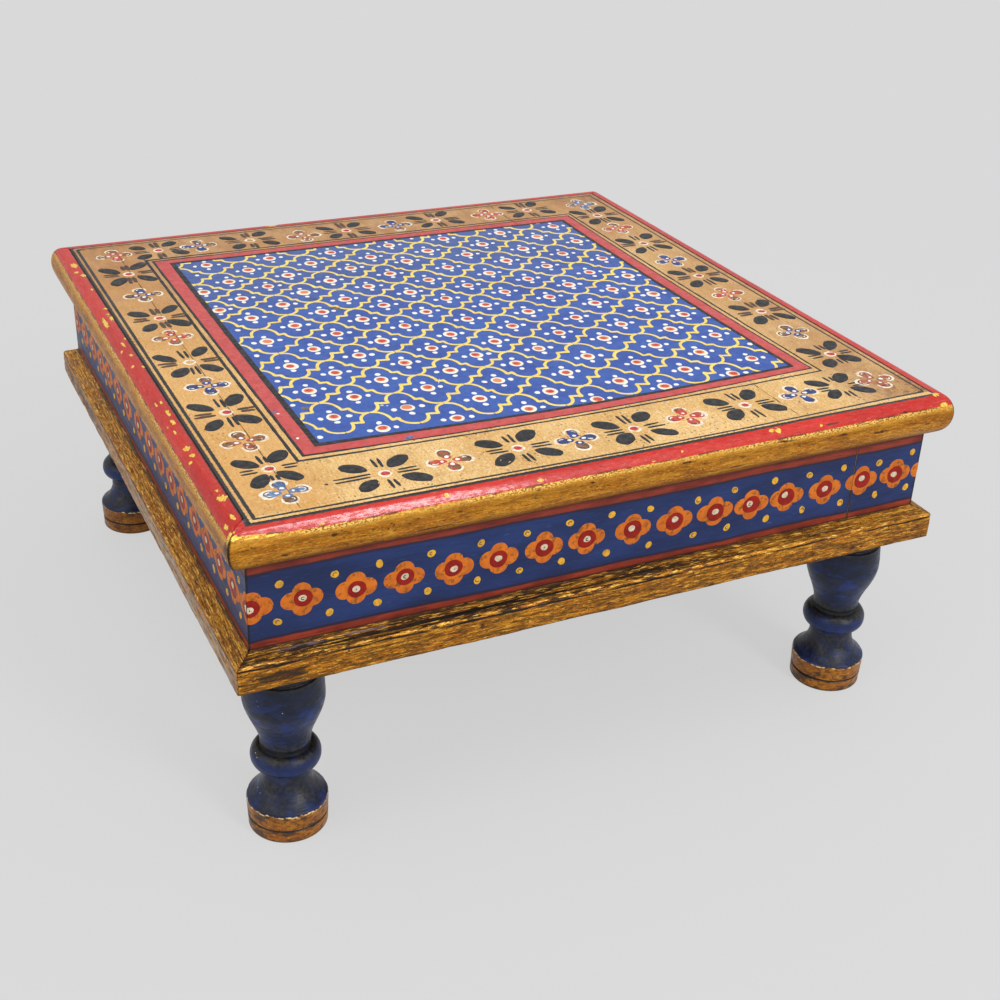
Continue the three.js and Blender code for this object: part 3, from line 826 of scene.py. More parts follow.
def moulding_paint():
    m = Shader("Moulding_paint", "UV")
    s = m.axis(1)
    gold = gilt(m, 0.45, 1.3)
    wide = m.noise(2.2, 16, 6, 0.62, (2, 2))
    slope = m.span(s, 11.8, 13.6, 1, 0)
    # how dark each side's slope and its streaks are made
    darkening = m.attribute("darkening")
    gold = m.mix(m.times(slope, darkening, 0.5), gold, (92, 54, 16))
    black = m.times(m.span(wide, 0.455, 0.525), slope, darkening)
    color = m.mix(black, gold, m.mix(m.patches((0.42, 0.62), 1.0, 7, 5), (28, 22, 18), (84, 52, 18)))
    light = m.times(slope, m.patches((0.545, 0.59, 0, 0.8), 0.7, 9, 5, shift=(3, 3)))
    color = m.mix(light, color, (240, 182, 76))
    edge = m.within(s, 11.6, 12.8, 15.2, 16.2)
    edge = m.times(edge, m.patches((0.46, 0.53), 1.5, 7, 6, 0.66, (8, 5)))
    color = m.mix(m.times(edge, darkening), color, (50, 32, 14))
    band = m.within(s, 8.8, 10.0, 11.2, 12.4)
    patch = m.patches((0.44, 0.52), 1.9, 24, 5, shift=(7, 9))
    color = m.mix(m.times(band, patch, darkening), color, (24, 19, 16))
    # painted reflection: grey-lavender streaks on the front slope, near its left end
    reflection_streak_mask = m.raised(m.attribute("reflection_streak"), 0.8, 1.2, 9, 5)
    color = m.mix(m.span(reflection_streak_mask, 0.55, 0.9, 0, 0.8), color, (118, 110, 122))
    top = m.times(m.span(s, 6.4, 8.0, 0.85, 0), m.patches((0.4, 0.5), 2, 12, 4))
    color = m.mix(top, color, (52, 38, 26))
    # the arris is lighter in broken patches: worn paint and a painted highlight
    arris = m.stirred(s, 2.6, 2.0, 3, 4)
    arris = m.within(arris, 12.6, 13.2, 14.2, 14.9)
    arris = m.times(arris, m.patches((0.53, 0.58), 1.3, 5, 6, shift=(1, 3)))
    color = m.mix(arris, color, m.mix(m.patches((0.4, 0.6), 0.9, 3, 3), (190, 130, 38), (248, 202, 100)))
    line = m.stirred(s, 2.0, 3, 6, 4, shift=(5, 5))
    line = m.within(line, 15.0, 15.5, 16.0, 16.7)
    line = m.times(line, m.patches((0.36, 0.5), 5, 8, 4, shift=(3, 8)))
    color = m.mix(line, color, (26, 20, 16))
    mottle = m.times(m.span(s, 16.5, 17.5), m.patches((0.47, 0.53, 0, 0.85), 2.4, 6, 7, 0.68, (6, 1)))
    color = m.mix(mottle, color, m.mix(m.patches((0.4, 0.6), 0.8, 4, 4), (66, 40, 12), (136, 86, 22)))
    color = m.mix(m.span(s, 26.4, 28.4, 0, 0.8), color, (58, 38, 20))
    mark = m.stirred(m.attribute("mark"), 3.4, 1.6, 4, 6, 0.66)
    color = m.mix(m.span(mark, 0.2, 0.5, 0, 0.85), color, (44, 34, 28))
    joint = m.raised(m.attribute("mitre"), 0.9, 1.8, detail=4, source="Object")
    color = m.mix(m.span(joint, 0.4, 0.9, 0.8, 0), color, (36, 28, 22))
    # painted reflection of the pale surroundings: the fascia is paler and greyer, most on the left side
    grazing_reflection = m.times(m.attribute("wash"), m.patches((0.4, 0.62), 3, 5, 5, shift=(4, 2)))
    color = m.mix(m.times(grazing_reflection, m.span(s, 15.5, 17.5)), color, (176, 164, 148))
    relief = m.bump(m.noise(0.9, 14, 6, 0.64), 0.5, 0.0005)
    relief = m.bump(m.noise(3.2, 5, 4), 0.3, 0.0008, relief)
    rough = m.patches((0.3, 0.7, 0.34, 0.55), 2.4, 6, 4)
    return m.finish(color, rough, relief, specular=0.25,
                    metallic=m.patches((0.3, 0.7, 0.3, 0.5), 3, 6, 3))


def apron_paint():
    m = Shader("Apron_paint", "UV")
    s = m.axis(1)
    color = m.mix(m.patches((0.35, 0.65), 18, 3, 4), (24, 38, 80), (32, 52, 103))
    color = m.mix(m.span(m.axis(0), -180, -120, 0.35, 0), color, (22, 34, 66))
    color = streaks(m, color, (22, 32, 60), 1.1, 0.5, 0.7, 0.55, 14, (1, 2), 5)
    color = streaks(m, color, (56, 78, 128), 0.8, 0.58, 0.72, 0.4, 10, (7, 1), 4)
    place = m.stirred(s, 2.8, 26, 2, 3)
    head = m.plus(place, m.span(m.axis(0), -180, 40, 1.3, 0.3))
    soft = m.raised(head, 1.2, 1.5, 8, 4)
    color = m.mix(m.span(soft, 7.6, 9.0, 0.85, 0), color, (42, 26, 36))
    red = m.mix(m.patches((0.35, 0.65), 6, 4, 4), (112, 36, 22), (146, 54, 32))
    red = streaks(m, red, (70, 24, 22), 1.0, 0.5, 0.68, 0.6, 12, (4, 4), 4)
    color = m.mix(m.span(head, 5.9, 6.9, 1, 0), color, red)
    low = m.raised(place, 1.2, 1.4, 8, 4, shift=(5, 0))
    color = m.mix(m.span(low, 38.6, 40.0, 0, 0.85), color, (40, 24, 32))
    color = m.mix(m.span(place, 39.6, 40.5), color, red)
    # painted shade in the corner: darker just above the moulding
    color = m.mix(m.span(s, 42.2, 43.4, 0, 0.8), color, (30, 22, 22))
    # painted shadow of the edging: the top of each side is darker
    color = m.mix(m.span(s, 1.2, 4.2, 0.8, 0), color, (36, 22, 22))
    corner = m.plus(m.off(m.axis(0)), m.noise(3, (1, 2, 1), 4))
    color = m.mix(m.span(corner, 180.2, 181.2, 0, 0.85), color, (22, 20, 22))
    color = m.mix(m.span(m.attribute("gap"), 0.3, 0.9, 0.8, 0), color, (18, 18, 24))
    scratch = m.patches((0.7, 0.76, 0, 0.5), 0.45, 30, 3, shift=(2, 6))
    color = m.mix(scratch, color, (140, 150, 160))
    relief = m.bump(m.noise(0.9, 12, 5, 0.62), 0.3, 0.0004)
    relief = m.bump(m.noise(4, 2, 3), 0.15, 0.0006, relief)
    rough = m.patches((0.3, 0.7, 0.34, 0.5), 4, 5, 4)
    return m.finish(color, rough, relief, specular=0.25)


def leg_paint():
    m = Shader("Leg_paint")
    z = m.times(m.axis(2), 1000.0)
    color = m.mix(m.patches((0.35, 0.65), 9, (1, 1, 0.6), 4), (12, 21, 44), (19, 34, 74))
    color = streaks(m, color, (12, 16, 26), 1.2, 0.48, 0.64, 0.7, (4, 4, 0.7), detail=6)
    color = streaks(m, color, (48, 68, 118), 0.8, 0.58, 0.7, 0.45, (2, 2, 0.7), shift=(3, 3, 3), detail=5)
    color = streaks(m, color, (46, 45, 40), 7.0, 0.5, 0.7, 0.4, (1.6, 1.6, 1), shift=(6, 2, 3), detail=6)
    color = streaks(m, color, (25, 52, 116), 7.0, 0.5, 0.64, 0.55, (1.4, 1.4, 1), shift=(2, 7, 5), detail=4)
    # painted shade under the table: the leg is darker towards its top
    color = m.mix(m.span(z, 70.0, 92.0, 0, 0.85), color, (17, 19, 20))
    # dust and painted shade in the hollows of the turning
    grime = m.noise(5, (1.6, 1.6, 1), 5, 0.65, shift=(1, 5, 2))
    deep = None
    for low, high, amount in ((14, 38, 0.6), (41, 55, 0.9), (86, 92, 0.5), (92, 101, 0.25)):
        middle, half = (low + high) / 2, (high - low) / 2
        near = m.span(m.off(z, middle), half * 0.35, half, amount, 0)
        deep = near if deep is None else m.most(deep, near)
    deep = m.times(deep, m.span(grime, 0.34, 0.6, 0.25, 1.1), clamp=True)
    dust_and_shade = m.mix(m.patches((0.35, 0.65), 2.2, detail=4), (20, 20, 20), (56, 53, 44))
    color = m.mix(deep, color, dust_and_shade)
    # painted shade: the throat above the bead is near black
    groove = m.span(m.off(z, 47.6), 0.8, 2.6, 0.85, 0)
    color = m.mix(groove, color, (14, 15, 18))
    # painted highlight: a brighter blue round the widest part of the bead
    bead = m.span(m.off(z, 41.0), 1.0, 4.5, 0.5, 0)
    color = m.mix(bead, color, (21, 38, 88))
    color = specks(m, color, (206, 204, 196), 2.1, 0.09, 0.16, 0.9, shift=(2, 2, 2), part=0.6)
    worn = m.stirred(z, 3.4, 3.2, (1.8, 1.8, 1), 5)
    gold = m.mix(m.patches((0.35, 0.65), 5, (2, 2, 1), 4), (136, 76, 8), (164, 102, 16))
    gold = streaks(m, gold, (84, 48, 16), 1.2, 0.48, 0.6, 0.75, (2.5, 2.5, 1), detail=7)
    gold = streaks(m, gold, (206, 148, 62), 0.8, 0.57, 0.68, 0.6, (2, 2, 1), shift=(5, 5, 5), detail=5)
    gold = specks(m, gold, (40, 28, 18), 1.6, 0.14, 0.32, 0.95, part=0.46)
    gold = streaks(m, gold, (56, 40, 26), 5.0, 0.53, 0.62, 0.85, (1.6, 1.6, 1), shift=(9, 4, 1), detail=7)
    gold = m.mix(m.span(m.off(z, 7.0), 0.4, 1.0, 0.9, 0), gold, (30, 22, 16))
    gold = m.mix(m.span(z, 0.4, 2.2, 0.7, 0), gold, (52, 36, 22))
    color = m.mix(m.span(worn, 15.6, 16.1, 1, 0), color, gold)
    edge = m.within(worn, 15.1, 15.5, 15.8, 16.3)
    edge = m.times(edge, m.patches((0.48, 0.55), 1.5, (1.5, 1.5, 1), 5, shift=(7, 1, 4)))
    color = m.mix(edge, color, (228, 196, 140))
    relief = m.bump(m.noise(1.0, (6, 6, 0.8), 5, 0.62), 0.35, 0.0004)
    relief = m.bump(m.noise(3.0, (2, 2, 1), 4), 0.25, 0.0007, relief)
    rough = m.patches((0.3, 0.7, 0.3, 0.48), 3, (2, 2, 1), 4)
    return m.finish(color, rough, relief, specular=0.3)


# roughness, mottling, its amount and the shine of a coat of paint that says nothing of them
PLAIN = (0.5, None, 0.6, 0.4)
# place on the field, reach
STAINS = ((-70.0, 48.0, 7.0), (-64.0, 30.0, 8.0), (34.0, 50.0, 6.0), (-79.0, 72.0, 6.0))


def paint(row, stains=()):
    """A brushed colour that differs a little from dab to dab, with patches of a third colour where given."""
    name, light, dark, size, *rest = row
    roughness, mottled, amount, specular = (*rest, *PLAIN[len(rest):])
    m = Shader(name)
    color = m.mix(m.patches((0.35, 0.7), size, detail=5, rough=0.62), light, dark)
    color = m.mix(m.span(m.attribute("tone"), 0, 1, 0.0, 0.35), color, dark)
    if mottled:
        color = m.mix(m.patches((0.5, 0.66, 0, amount), 2.6, detail=5, rough=0.66, shift=(3, 1, 6)),
                      color, mottled)
    for x, y, reach in stains:
        away = m.add("VectorMath", {"operation": "DISTANCE"}, i0=m.coords.outputs["Object"],
                     i1=(x * MM, y * MM, TOP * MM)).outputs["Value"]
        soiled = m.times(m.span(away, 0, reach * MM, 0.8, 0), m.patches((0.44, 0.56), 3, detail=4))
        color = m.mix(soiled, color, (62, 62, 66))
    if stains:
        # painted sheen: the field is paler and greyer towards the back
        color = m.mix(m.span(m.axis(1), 0.0, 0.12, 0, 0.32), color, (92, 106, 136))
    relief = m.bump(m.noise(1.1, detail=4), 0.3, 0.0004)
    rough = m.patches((0.3, 0.7, roughness - 0.08, roughness + 0.08), 3, detail=3)
    return m.finish(color, rough, relief, specular=specular)


def bare_wood(along):
    m = Shader("Bare_wood_" + "xyz"[along])
    stretch = tuple(14 if axis == along else 1 for axis in range(3))
    relief = m.bump(m.noise(1.1, stretch, 5, 0.62), 0.5, 0.0005)
    return m.finish(wood(m, stretch), m.patches((0.3, 0.7, 0.6, 0.8), 4, stretch, 4), relief,
                    specular=0.3)


def steel():
    m = Shader("Old_steel")
    rust = m.patches((0.42, 0.6), 1.4, detail=5, rough=0.65)
    color = m.mix(rust, (128, 124, 118), (92, 58, 38))
    relief = m.bump(m.noise(0.7, detail=4), 0.4, 0.0003)
    return m.finish(color, m.span(rust, 0, 1, 0.35, 0.75), relief, metallic=0.75)


# What is painted on the top: borders of the field, lattice, flowers

def bowed(corners, bows):
    """A closed line through four corners from front left, its edges bowed outwards by their amounts."""
    t = np.arange(EDGE_STEPS)[:, None] / EDGE_STEPS
    line = []
    for (a, b), bow in zip(zip(corners, corners[1:] + corners[:1]), bows):
        a, b = np.array(a), np.array(b)
        out = np.array([(b - a)[1], -(b - a)[0]]) / np.hypot(*(b - a))
        line.append(a + (b - a) * t + out * bow * np.sin(math.pi * t))
    return np.vstack(line)


def grown(line, amount, seed, ragged=0.18):
    """The same closed line further out, its distance a little uneven."""
    along = np.roll(line, -1, 0) - np.roll(line, 1, 0)
    out = np.c_[along[:, 1], -along[:, 0]] / np.hypot(*along.T)[:, None]
    sharp = np.clip(1 / np.maximum(np.abs(out).max(1), 0.71), 1, 1.41)
    uneven = noise(line, (5, 5), seed, 3) * ragged
    return line + out * ((amount + uneven) * sharp)[:, None]


FIELD = bowed([(-127.8, -125.0), (130.8, -126.7), (130.5, 130.7), (-127.5, 132.0)], (4.8, -1.6, 0.4, 0.3))
BAND = bowed([(-137.8, -134.0), (139.5, -133.2), (139.6, 139.3), (-138.0, 140.2)], (5.0, -1.5, 0.3, 0.2))
BORDER = bowed([(-141.8, -138.1), (142.3, -137.8), (142.3, 142.6), (-141.5, 143.4)], (3.4, -1.0, 0.2, 0.2))


def inside(point, line, margin):
    """Whether a point is within a closed line grown by a margin."""
    a, b = line, np.roll(line, -1, 0)
    crosses = (a[:, 1] > point[1]) != (b[:, 1] > point[1])
    at = a[:, 0] + (point[1] - a[:, 1]) / np.where(b[:, 1] == a[:, 1], 1e-9,
                                                   b[:, 1] - a[:, 1]) * (b - a)[:, 0]
    within = np.count_nonzero(crosses & (point[0] < at)) % 2 == 1
    near = np.hypot(*(line - point).T).min()
    return within and near > -margin if margin < 0 else within or near < margin


ROWS = (    # centres of the cells of the lattice, row by row from the front
    ((-95.3, -121.4), (-57.9, -123.3), (-21.2, -126.0), (15.3, -128.6), (55.2, -126.7), (96.8, -125.2)),
    ((-112.2, -101.5), (-75.8, -104.2), (-38.5, -107.1), (-1.9, -111.4), (37.0, -112.5), (76.3, -111.9),
     (117.7, -112.0)),
    ((-95.4, -83.8), (-57.6, -86.2), (-20.6, -89.9), (16.5, -93.1), (57.6, -94.9), (96.7, -94.7)),
    ((-113.2, -68.5), (-75.3, -68.7), (-38.2, -70.0), (-2.5, -73.5), (37.0, -78.4), (78.2, -78.1),
     (117.7, -76.9)),
    ((-93.6, -52.4), (-55.8, -52.7), (-17.2, -56.0), (17.3, -60.1), (57.7, -59.1), (98.5, -60.2)),
    ((-112.1, -36.8), (-74.5, -35.5), (-35.8, -39.7), (0.0, -42.7), (38.3, -43.5), (76.4, -44.1),
     (117.5, -43.7)),
    ((-93.6, -19.5), (-56.2, -21.5), (-18.5, -25.2), (18.5, -26.1), (57.7, -26.8), (98.9, -28.6)),
    ((-113.5, -1.1), (-75.3, -3.3), (-37.0, -5.9), (-0.9, -8.1), (36.4, -9.4), (78.5, -10.8), (118.0, -9.4)),
    ((-92.6, 15.2), (-55.4, 11.2), (-17.7, 9.8), (17.8, 8.3), (58.1, 7.4), (99.0, 5.4)),
    ((-111.0, 33.6), (-72.2, 29.4), (-36.0, 27.4), (1.2, 25.0), (37.5, 23.5), (78.6, 21.5), (119.3, 22.8)),
    ((-88.8, 47.4), (-53.3, 43.7), (-14.6, 41.2), (21.2, 40.7), (59.9, 38.5), (100.5, 36.2)),
    ((-107.5, 64.2), (-71.9, 61.8), (-33.2, 58.6), (3.6, 56.7), (42.3, 55.2), (80.9, 54.9), (119.9, 55.6)),
    ((-87.9, 77.9), (-51.0, 74.8), (-13.7, 74.5), (23.0, 73.0), (61.7, 72.1), (100.9, 72.2)),
    ((-106.5, 93.0), (-71.2, 92.0), (-32.3, 91.1), (4.0, 91.4), (43.6, 90.9), (81.3, 88.4), (120.7, 90.7)),
    ((-90.0, 108.2), (-51.7, 106.9), (-13.9, 105.5), (23.4, 104.7), (60.6, 105.3), (100.8, 106.9)),
    ((-111.0, 124.5), (-72.5, 123.9), (-34.4, 121.7), (4.8, 122.5), (41.9, 122.7), (81.1, 122.0),
     (120.0, 122.5)),
)


def lattice_cells():
    """Cell centres by row and column, carried on past the edges of the field."""
    cells = {}
    for r, row in enumerate(ROWS):
        first = 1 if r % 2 == 0 else 0
        for q, centre in enumerate(row):
            cells[r, first + 2 * q] = np.array(centre)
        for k, step in ((first - 2, 2), (first - 4, 2), (first + 2 * len(row), -2),
                        (first + 2 * len(row) + 2, -2)):
            cells[r, k] = 2 * cells[r, k + step] - cells[r, k + 2 * step]
    for r, step in ((-1, 2), (-2, 2), (len(ROWS), -2), (len(ROWS) + 1, -2)):
        for k in [k for (row, k) in cells if row == r + step]:
            cells[r, k] = 2 * cells[r + step, k] - cells[r + 2 * step, k]
    return cells


def strand(start, end, rising, random):
    """One side of a cell: a quarter round, a small step and another quarter round."""
    d = end - start
    t = np.linspace(0, math.pi / 2, 13)
    one, two = ((0.35, 0.50), (0.645, 0.455)) if rising else ((0.40, 0.56), (0.585, 0.585))
    one = np.array(one) + random.uniform(-0.02, 0.02, 2)
    two = np.array(two) + random.uniform(-0.02, 0.02, 2)
    first = np.c_[one[0] * np.sin(t) ** 0.9, one[1] * (1 - np.cos(t))]
    tooth = np.array([[0.015, 0.05]]) if rising else np.array([[0.0, 0.03]])
    last = np.c_[two[0] + (1 - two[0]) * (1 - np.cos(t)), two[1] + (1 - two[1]) * np.sin(t) ** 0.9]
    pieces = [first, one + tooth * random.uniform(0, 1.4),
              (one * 2 + two) / 3 + random.uniform(-0.012, 0.012, 2),
              (one + two * 2) / 3 + random.uniform(-0.012, 0.012, 2), two - tooth * random.uniform(0, 1.6),
              last]
    line = np.vstack(pieces)
    return start + line * d, start + (one + two) / 2 * d


def resampled(line, step):
    run = lengths(line)
    at = np.linspace(0, run[-1], max(3, int(run[-1] / step)))
    return np.c_[np.interp(at, run, line[:, 0]), np.interp(at, run, line[:, 1])]


def lattice(colours):
    cells = lattice_cells()
    lines = Paint(on_top, 1)
    blobs, glows, hearts, dots = Paint(on_top, 2), Paint(on_top, 5), Paint(on_top, 3), Paint(on_top, 4)
    random = np.random.default_rng(12)
    junctions = {}
    for r in range(0, len(ROWS) + 1):
        for k in range(-3, 17):
            near = [cells.get(q) for q in ((r, k - 1), (r, k + 1), (r - 1, k), (r + 1, k))]
            if (r + k) % 2 == 0 and all(c is not None for c in near):
                place = np.mean(near, axis=0)
                if r == 0:
                    place = place - (0, 2.6 * float(smooth(30, 110, place[0])))
                junctions[r, k] = place, random.choice((0.0, 0.0, 0.5, 1.1))
    for (r, k), (low, gap_low) in junctions.items():
        for step, rising in ((1, True), (-1, False)):
            if (r + 1, k + step) not in junctions:
                continue
            high, gap_high = junctions[r + 1, k + step]
            start, end = low + (0, gap_low * 0.5), high - (0, gap_high * 0.5)
            line, step_at = strand(start, end, True, random) if rising else strand(end, start, False, random)
            line = resampled(line + random.uniform(-0.15, 0.15, 2), 0.55)
            line += 0.12 * np.c_[noise(line, (3, 3), 7, 2), noise(line, (3, 3), 8, 2)]
            kept = [inside(point, FIELD, 1.2) for point in line]
            runs, run = [], []
            for point, keep in zip(line, kept):
                if keep:
                    run.append(point)
                elif run:
                    runs.append(run)
                    run = []
            runs.append(run)
            for run in runs:
                if len(run) > 3:
                    run = np.array(run)
                    width = random.uniform(1.6, 1.9) * (1 + 0.14 * noise(run, (6, 6), 9, 2))
                    width *= 1 + 0.3 * np.exp(-(np.hypot(*(run - step_at).T) / 2.0) ** 2)
                    lines.stroke(run, width, TOP + 0.04, TOP + 0.15, ends=0.5, wobble=0.12)
    for (r, k), centre in sorted(cells.items()):
        c = centre + random.uniform(-0.25, 0.25, 2)
        if inside(c, FIELD, -0.5):
            size = random.uniform(3.5, 4.1)
            blobs.dab(*c, (size, size * random.uniform(1.0, 1.12)), TOP + 0.04, TOP + 0.17, steps=30,
                      wobble=0.06)
            off = random.uniform(-0.45, 0.45, 2)
            glows.dab(*(c + off), (random.uniform(2.3, 2.8), random.uniform(2.2, 2.7)), TOP + 0.1, TOP + 0.2,
                      steps=24, wobble=0.1)
            if random.random() < 0.93:
                hearts.dab(*(c + off * 1.3), (random.uniform(1.6, 2.1), random.uniform(1.5, 2.0)), TOP + 0.12,
                           TOP + 0.24,
                           steps=24, wobble=0.16)
        for dx, dy in ((6.9, -0.6), (-6.9, 0.3), (0.3, 6.6), (-0.3, -6.5)):
            d = c + (dx + random.uniform(-0.5, 0.5), dy + random.uniform(-0.6, 0.6))
            if inside(d, FIELD, -0.2):
                far = 1 - 0.14 * float(smooth(0, 110, d[1]))
                dots.dab(*d, (random.uniform(1.3, 1.6) * far, random.uniform(1.3, 1.75) * far), TOP + 0.04,
                         TOP + 0.18,
                         steps=18, wobble=0.14, turned=random.uniform(-0.5, 0.5))
    for work, name, colour in ((lines, "lattice_lines", "gold_line"), (blobs, "lattice_blobs", "cream"),
                               (glows, "lattice_glows", "glow"),
                               (hearts, "lattice_hearts", "heart"), (dots, "lattice_dots", "white")):
        work.make(name, colours[colour], "top_paint")


LEAVES = ((8.6, 10.0), (-11.2, 8.2), (-9.9, -8.1), (11.4, -8.0))    # middles of the four leaves of a flower
# flowers by the front corners, a little smaller
SMALLER = (4, 9, 14)


def leaf(random, scale):
    """The outline of a leaf along its own length: pointed inside, blunt outside with a small corner."""
    half, wide = random.uniform(6.6, 7.8) * scale, random.uniform(3.8, 4.7) * scale
    corner = random.choice((-1, 1)) * random.uniform(0.25, 0.6)

    def reach(angle):
        power = 1.55 + 0.75 * (0.5 + 0.5 * np.cos(angle))
        edge = (np.abs(np.cos(angle)) / half) ** power + (np.abs(np.sin(angle)) / wide) ** power
        nick = 0.1 * np.exp(-((angle - corner) % (2 * math.pi) / 0.25) ** 2)
        return edge ** (-1 / power) * (1 + nick)
    return reach


LEAF_FLOWERS = (    # place, whether the heart is red, whether the strokes along the border are faded
    (-110.9, -164.0, 1, 0), (-45.0, -162.8, 1, 0), (15.9, -164.4, 1, 0), (81.0, -160.4, 1, 0),
    (139.8, -159.0, 0, 0),
    (-157.1, 124.6, 1, 1), (-157.4, 50.5, 1, 1), (-158.1, -13.8, 0, 1), (-157.8, -78.1, 1, 1),
    (-156.9, -141.3, 1, 0),
    (159.5, 134.0, 1, 1), (159.5, 72.8, 1, 1), (160.5, 8.4, 1, 1), (162.5, -55.0, 1, 1),
    (161.6, -121.5, 1, 0),
    (-130.9, 160.1, 1, 1), (-73.4, 160.1, 0, 1), (-10.3, 158.9, 1, 1), (52.5, 160.1, 1, 1),
    (119.4, 160.1, 1, 1),
)
SMALL_FLOWERS = (    # place and fill
    (-157.1, -164.6, "pale_blue"), (-79.3, -162.8, "red"), (-15.3, -164.4, "blue"), (46.6, -161.5, "red"),
    (114.4, -159.1, "blue"), (162.5, -158.5, "rust"), (-157.8, 158.4, "red"), (-157.8, 88.4, "blue"),
    (-157.8, 21.5, "red"), (-157.8, -45.6, "blue"), (-159.0, -111.3, "rust"), (160.1, 159.6, "pale_blue"),
    (158.9, 105.3, "red"), (158.9, 38.4, "blue"), (160.1, -24.4, "red"), (161.0, -88.1, "blue"),
    (-105.9, 160.5, "blue"), (-39.6, 157.6, "rust"), (23.1, 157.9, "blue"), (89.4, 159.8, "red"),
)


def border_flowers(colours):
    work = {key: Paint(on_top, 20 + n) for n, key in enumerate(
        ("black", "brown", "umber", "halo", "wash", "white", "berry", "red", "blue", "pale_blue", "rust"))}
    random = np.random.default_rng(31)
    base = TOP - 0.02
    for number, (x, y, red, faded) in enumerate(LEAF_FLOWERS):
        upright = abs(x) > abs(y)
        turned = math.pi / 2 if upright else 0.0
        small = number in SMALLER
        scale = 0.86 if small else 1.0
        for dx, dy in LEAVES:
            dx, dy = (np.array((dx, dy)) + random.uniform(-0.8, 0.8, 2)) * scale
            out, lean = math.hypot(dx, dy), math.atan2(dy, dx) + turned
            centre = (x + math.cos(lean) * out, y + math.sin(lean) * out)
            tilt = math.atan2(math.copysign(0.87, dy), dx / abs(dx)) + turned
            size = 0.93 if small else 0.84 if y > 150 else 0.92 if x > 150 else 0.98
            work["black"].dab(*centre, leaf(random, size), base, TOP + 0.11, steps=44, wobble=0.05, rise=0.9,
                              turned=0.6 * tilt + 0.4 * lean + random.uniform(-0.09, 0.09))
        for q in range(4):
            along = q * math.pi / 2 + turned + random.uniform(-0.04, 0.04)
            c, s = math.cos(along), math.sin(along)
            dull = faded and (q % 2 == 1 or random.random() < 0.3)
            for across in (-1.25, 1.25):
                start = random.uniform(5.2, 7.0)
                stop = (random.uniform(14.4, 17.0) - (0.8 if q % 2 else 0)) * scale
                if number == 0 and q == 2:
                    stop = 24.0
                splay = across * random.uniform(1.05, 1.45)
                line = [(x + c * start - s * across, y + s * start + c * across),
                        (x + c * stop - s * splay, y + s * stop + c * splay)]
                line = path(*line, step=0.7)
                line += 0.25 * np.c_[noise(line, (9, 9), 40 + number, 1), noise(line, (9, 9), 41 + number, 1)]
                share = np.linspace(0, 1, len(line))
                width = (2.0 if dull else 1.05) + 0.7 * np.sin(math.pi * share ** 0.8) ** 0.7
                work["brown" if dull else "black"].stroke(line, width, base, TOP + 0.07 + 0.02 * (not dull),
                                                          wobble=0.16)
        if red or number % 5 != 4:
            ring = circle(x, y, 2.7, np.linspace(0.3, 6.4, 34))
            work["halo"].stroke(ring, 1.3, base, TOP + 0.11, wobble=0.55)
        if red:
            work["berry"].dab(x + random.uniform(-0.4, 0.4), y + random.uniform(-0.4, 0.4),
                              (random.uniform(1.8, 2.3), random.uniform(1.6, 2.0)), base, TOP + 0.15,
                              steps=22, wobble=0.2)
    for x, y, fill in SMALL_FLOWERS:
        tilt = random.uniform(-0.1, 0.1)
        for q in range(4):
            along = q * math.pi / 2 + tilt + random.uniform(-0.08, 0.08)
            c, s = math.cos(along), math.sin(along)
            out = random.uniform(6.7, 7.7)
            px, py = x + c * out, y + s * out
            own = fill if random.random() < 0.6 else "umber"
            work[own].dab(px - c * 0.7, py - s * 0.7, (random.uniform(3.1, 3.6), random.uniform(2.6, 3.2)),
                          base,
                          TOP + 0.06, steps=26, wobble=0.2, turned=along)
            spread = random.uniform(1.6, 2.2)
            at = np.linspace(-spread, spread, 34)
            rim = circle(px, py, 3.6, along + at)
            rim += 0.35 * np.c_[noise(rim, (3, 3), 45, 2), noise(rim, (3, 3), 46, 2)]
            taper = 0.55 + 0.6 * np.cos(at / spread * math.pi / 2)
            faint = 0.66 if y > 150 or x > 150 and y > -120 else 1.0
            work["halo"].stroke(rim, random.uniform(1.0, 1.6) * taper * faint, base, TOP + 0.12, wobble=0.7)
            rim = circle(px, py, 2.7, along + at[5:-5])
            work["brown"].stroke(rim, random.uniform(0.35, 0.6), base, TOP + 0.1, wobble=0.6)
            for _ in range(3):
                turned = random.uniform(-2.2, 2.2)
                arc = circle(px, py, 1.7, along + turned + np.linspace(-0.8, 0.8, 12))
                key = ("halo", "halo", "brown", fill)[random.integers(4)]
                work[key].stroke(arc, random.uniform(0.5, 1.0), base, TOP + 0.11, wobble=0.6)
            qx, qy = x + c * 3.7, y + s * 3.7
            work[fill if own == "umber" else own].dab(qx, qy, (2.3, 2.0), base, TOP + 0.1, steps=20,
                                                      wobble=0.25)
            work["white"].dab(qx, qy, random.uniform(0.8, 1.3), base, TOP + 0.16, steps=16, wobble=0.35)
    for key, strokes in work.items():
        if strokes.verts:
            strokes.make("border_" + key, colours[key], "top_paint")


def field(colours):
    ground = Paint(on_top, 50)
    ground.between(None, grown(FIELD, 1.0, 51), TOP - 0.02, TOP + 0.06)
    ground.make("field_blue", colours["field"], "top_paint")
    band = Paint(on_top, 52)
    band.between(grown(FIELD, 1.0, 53), grown(BAND, 0.3, 54), TOP - 0.02, TOP + 0.08)
    band.make("field_red_band", colours["band"], "top_paint")
    lines = Paint(on_top, 55)
    for line, inner, outer, more, seed in ((FIELD, -0.15, 2.3, 0.9, 56), (BAND, -0.1, 1.15, 0.5, 58),
                                           (BORDER, 0.0, 1.4, 0.45, 60)):
        wide = outer + more * smooth(-90, -126, line[:, 0])
        lines.between(grown(line, inner, seed, 0.28), grown(line, wide, seed + 1, 0.28), TOP - 0.02,
                      TOP + 0.12 + 0.07 * (line is FIELD))
    lines.make("field_outlines", colours["black"], "top_paint")


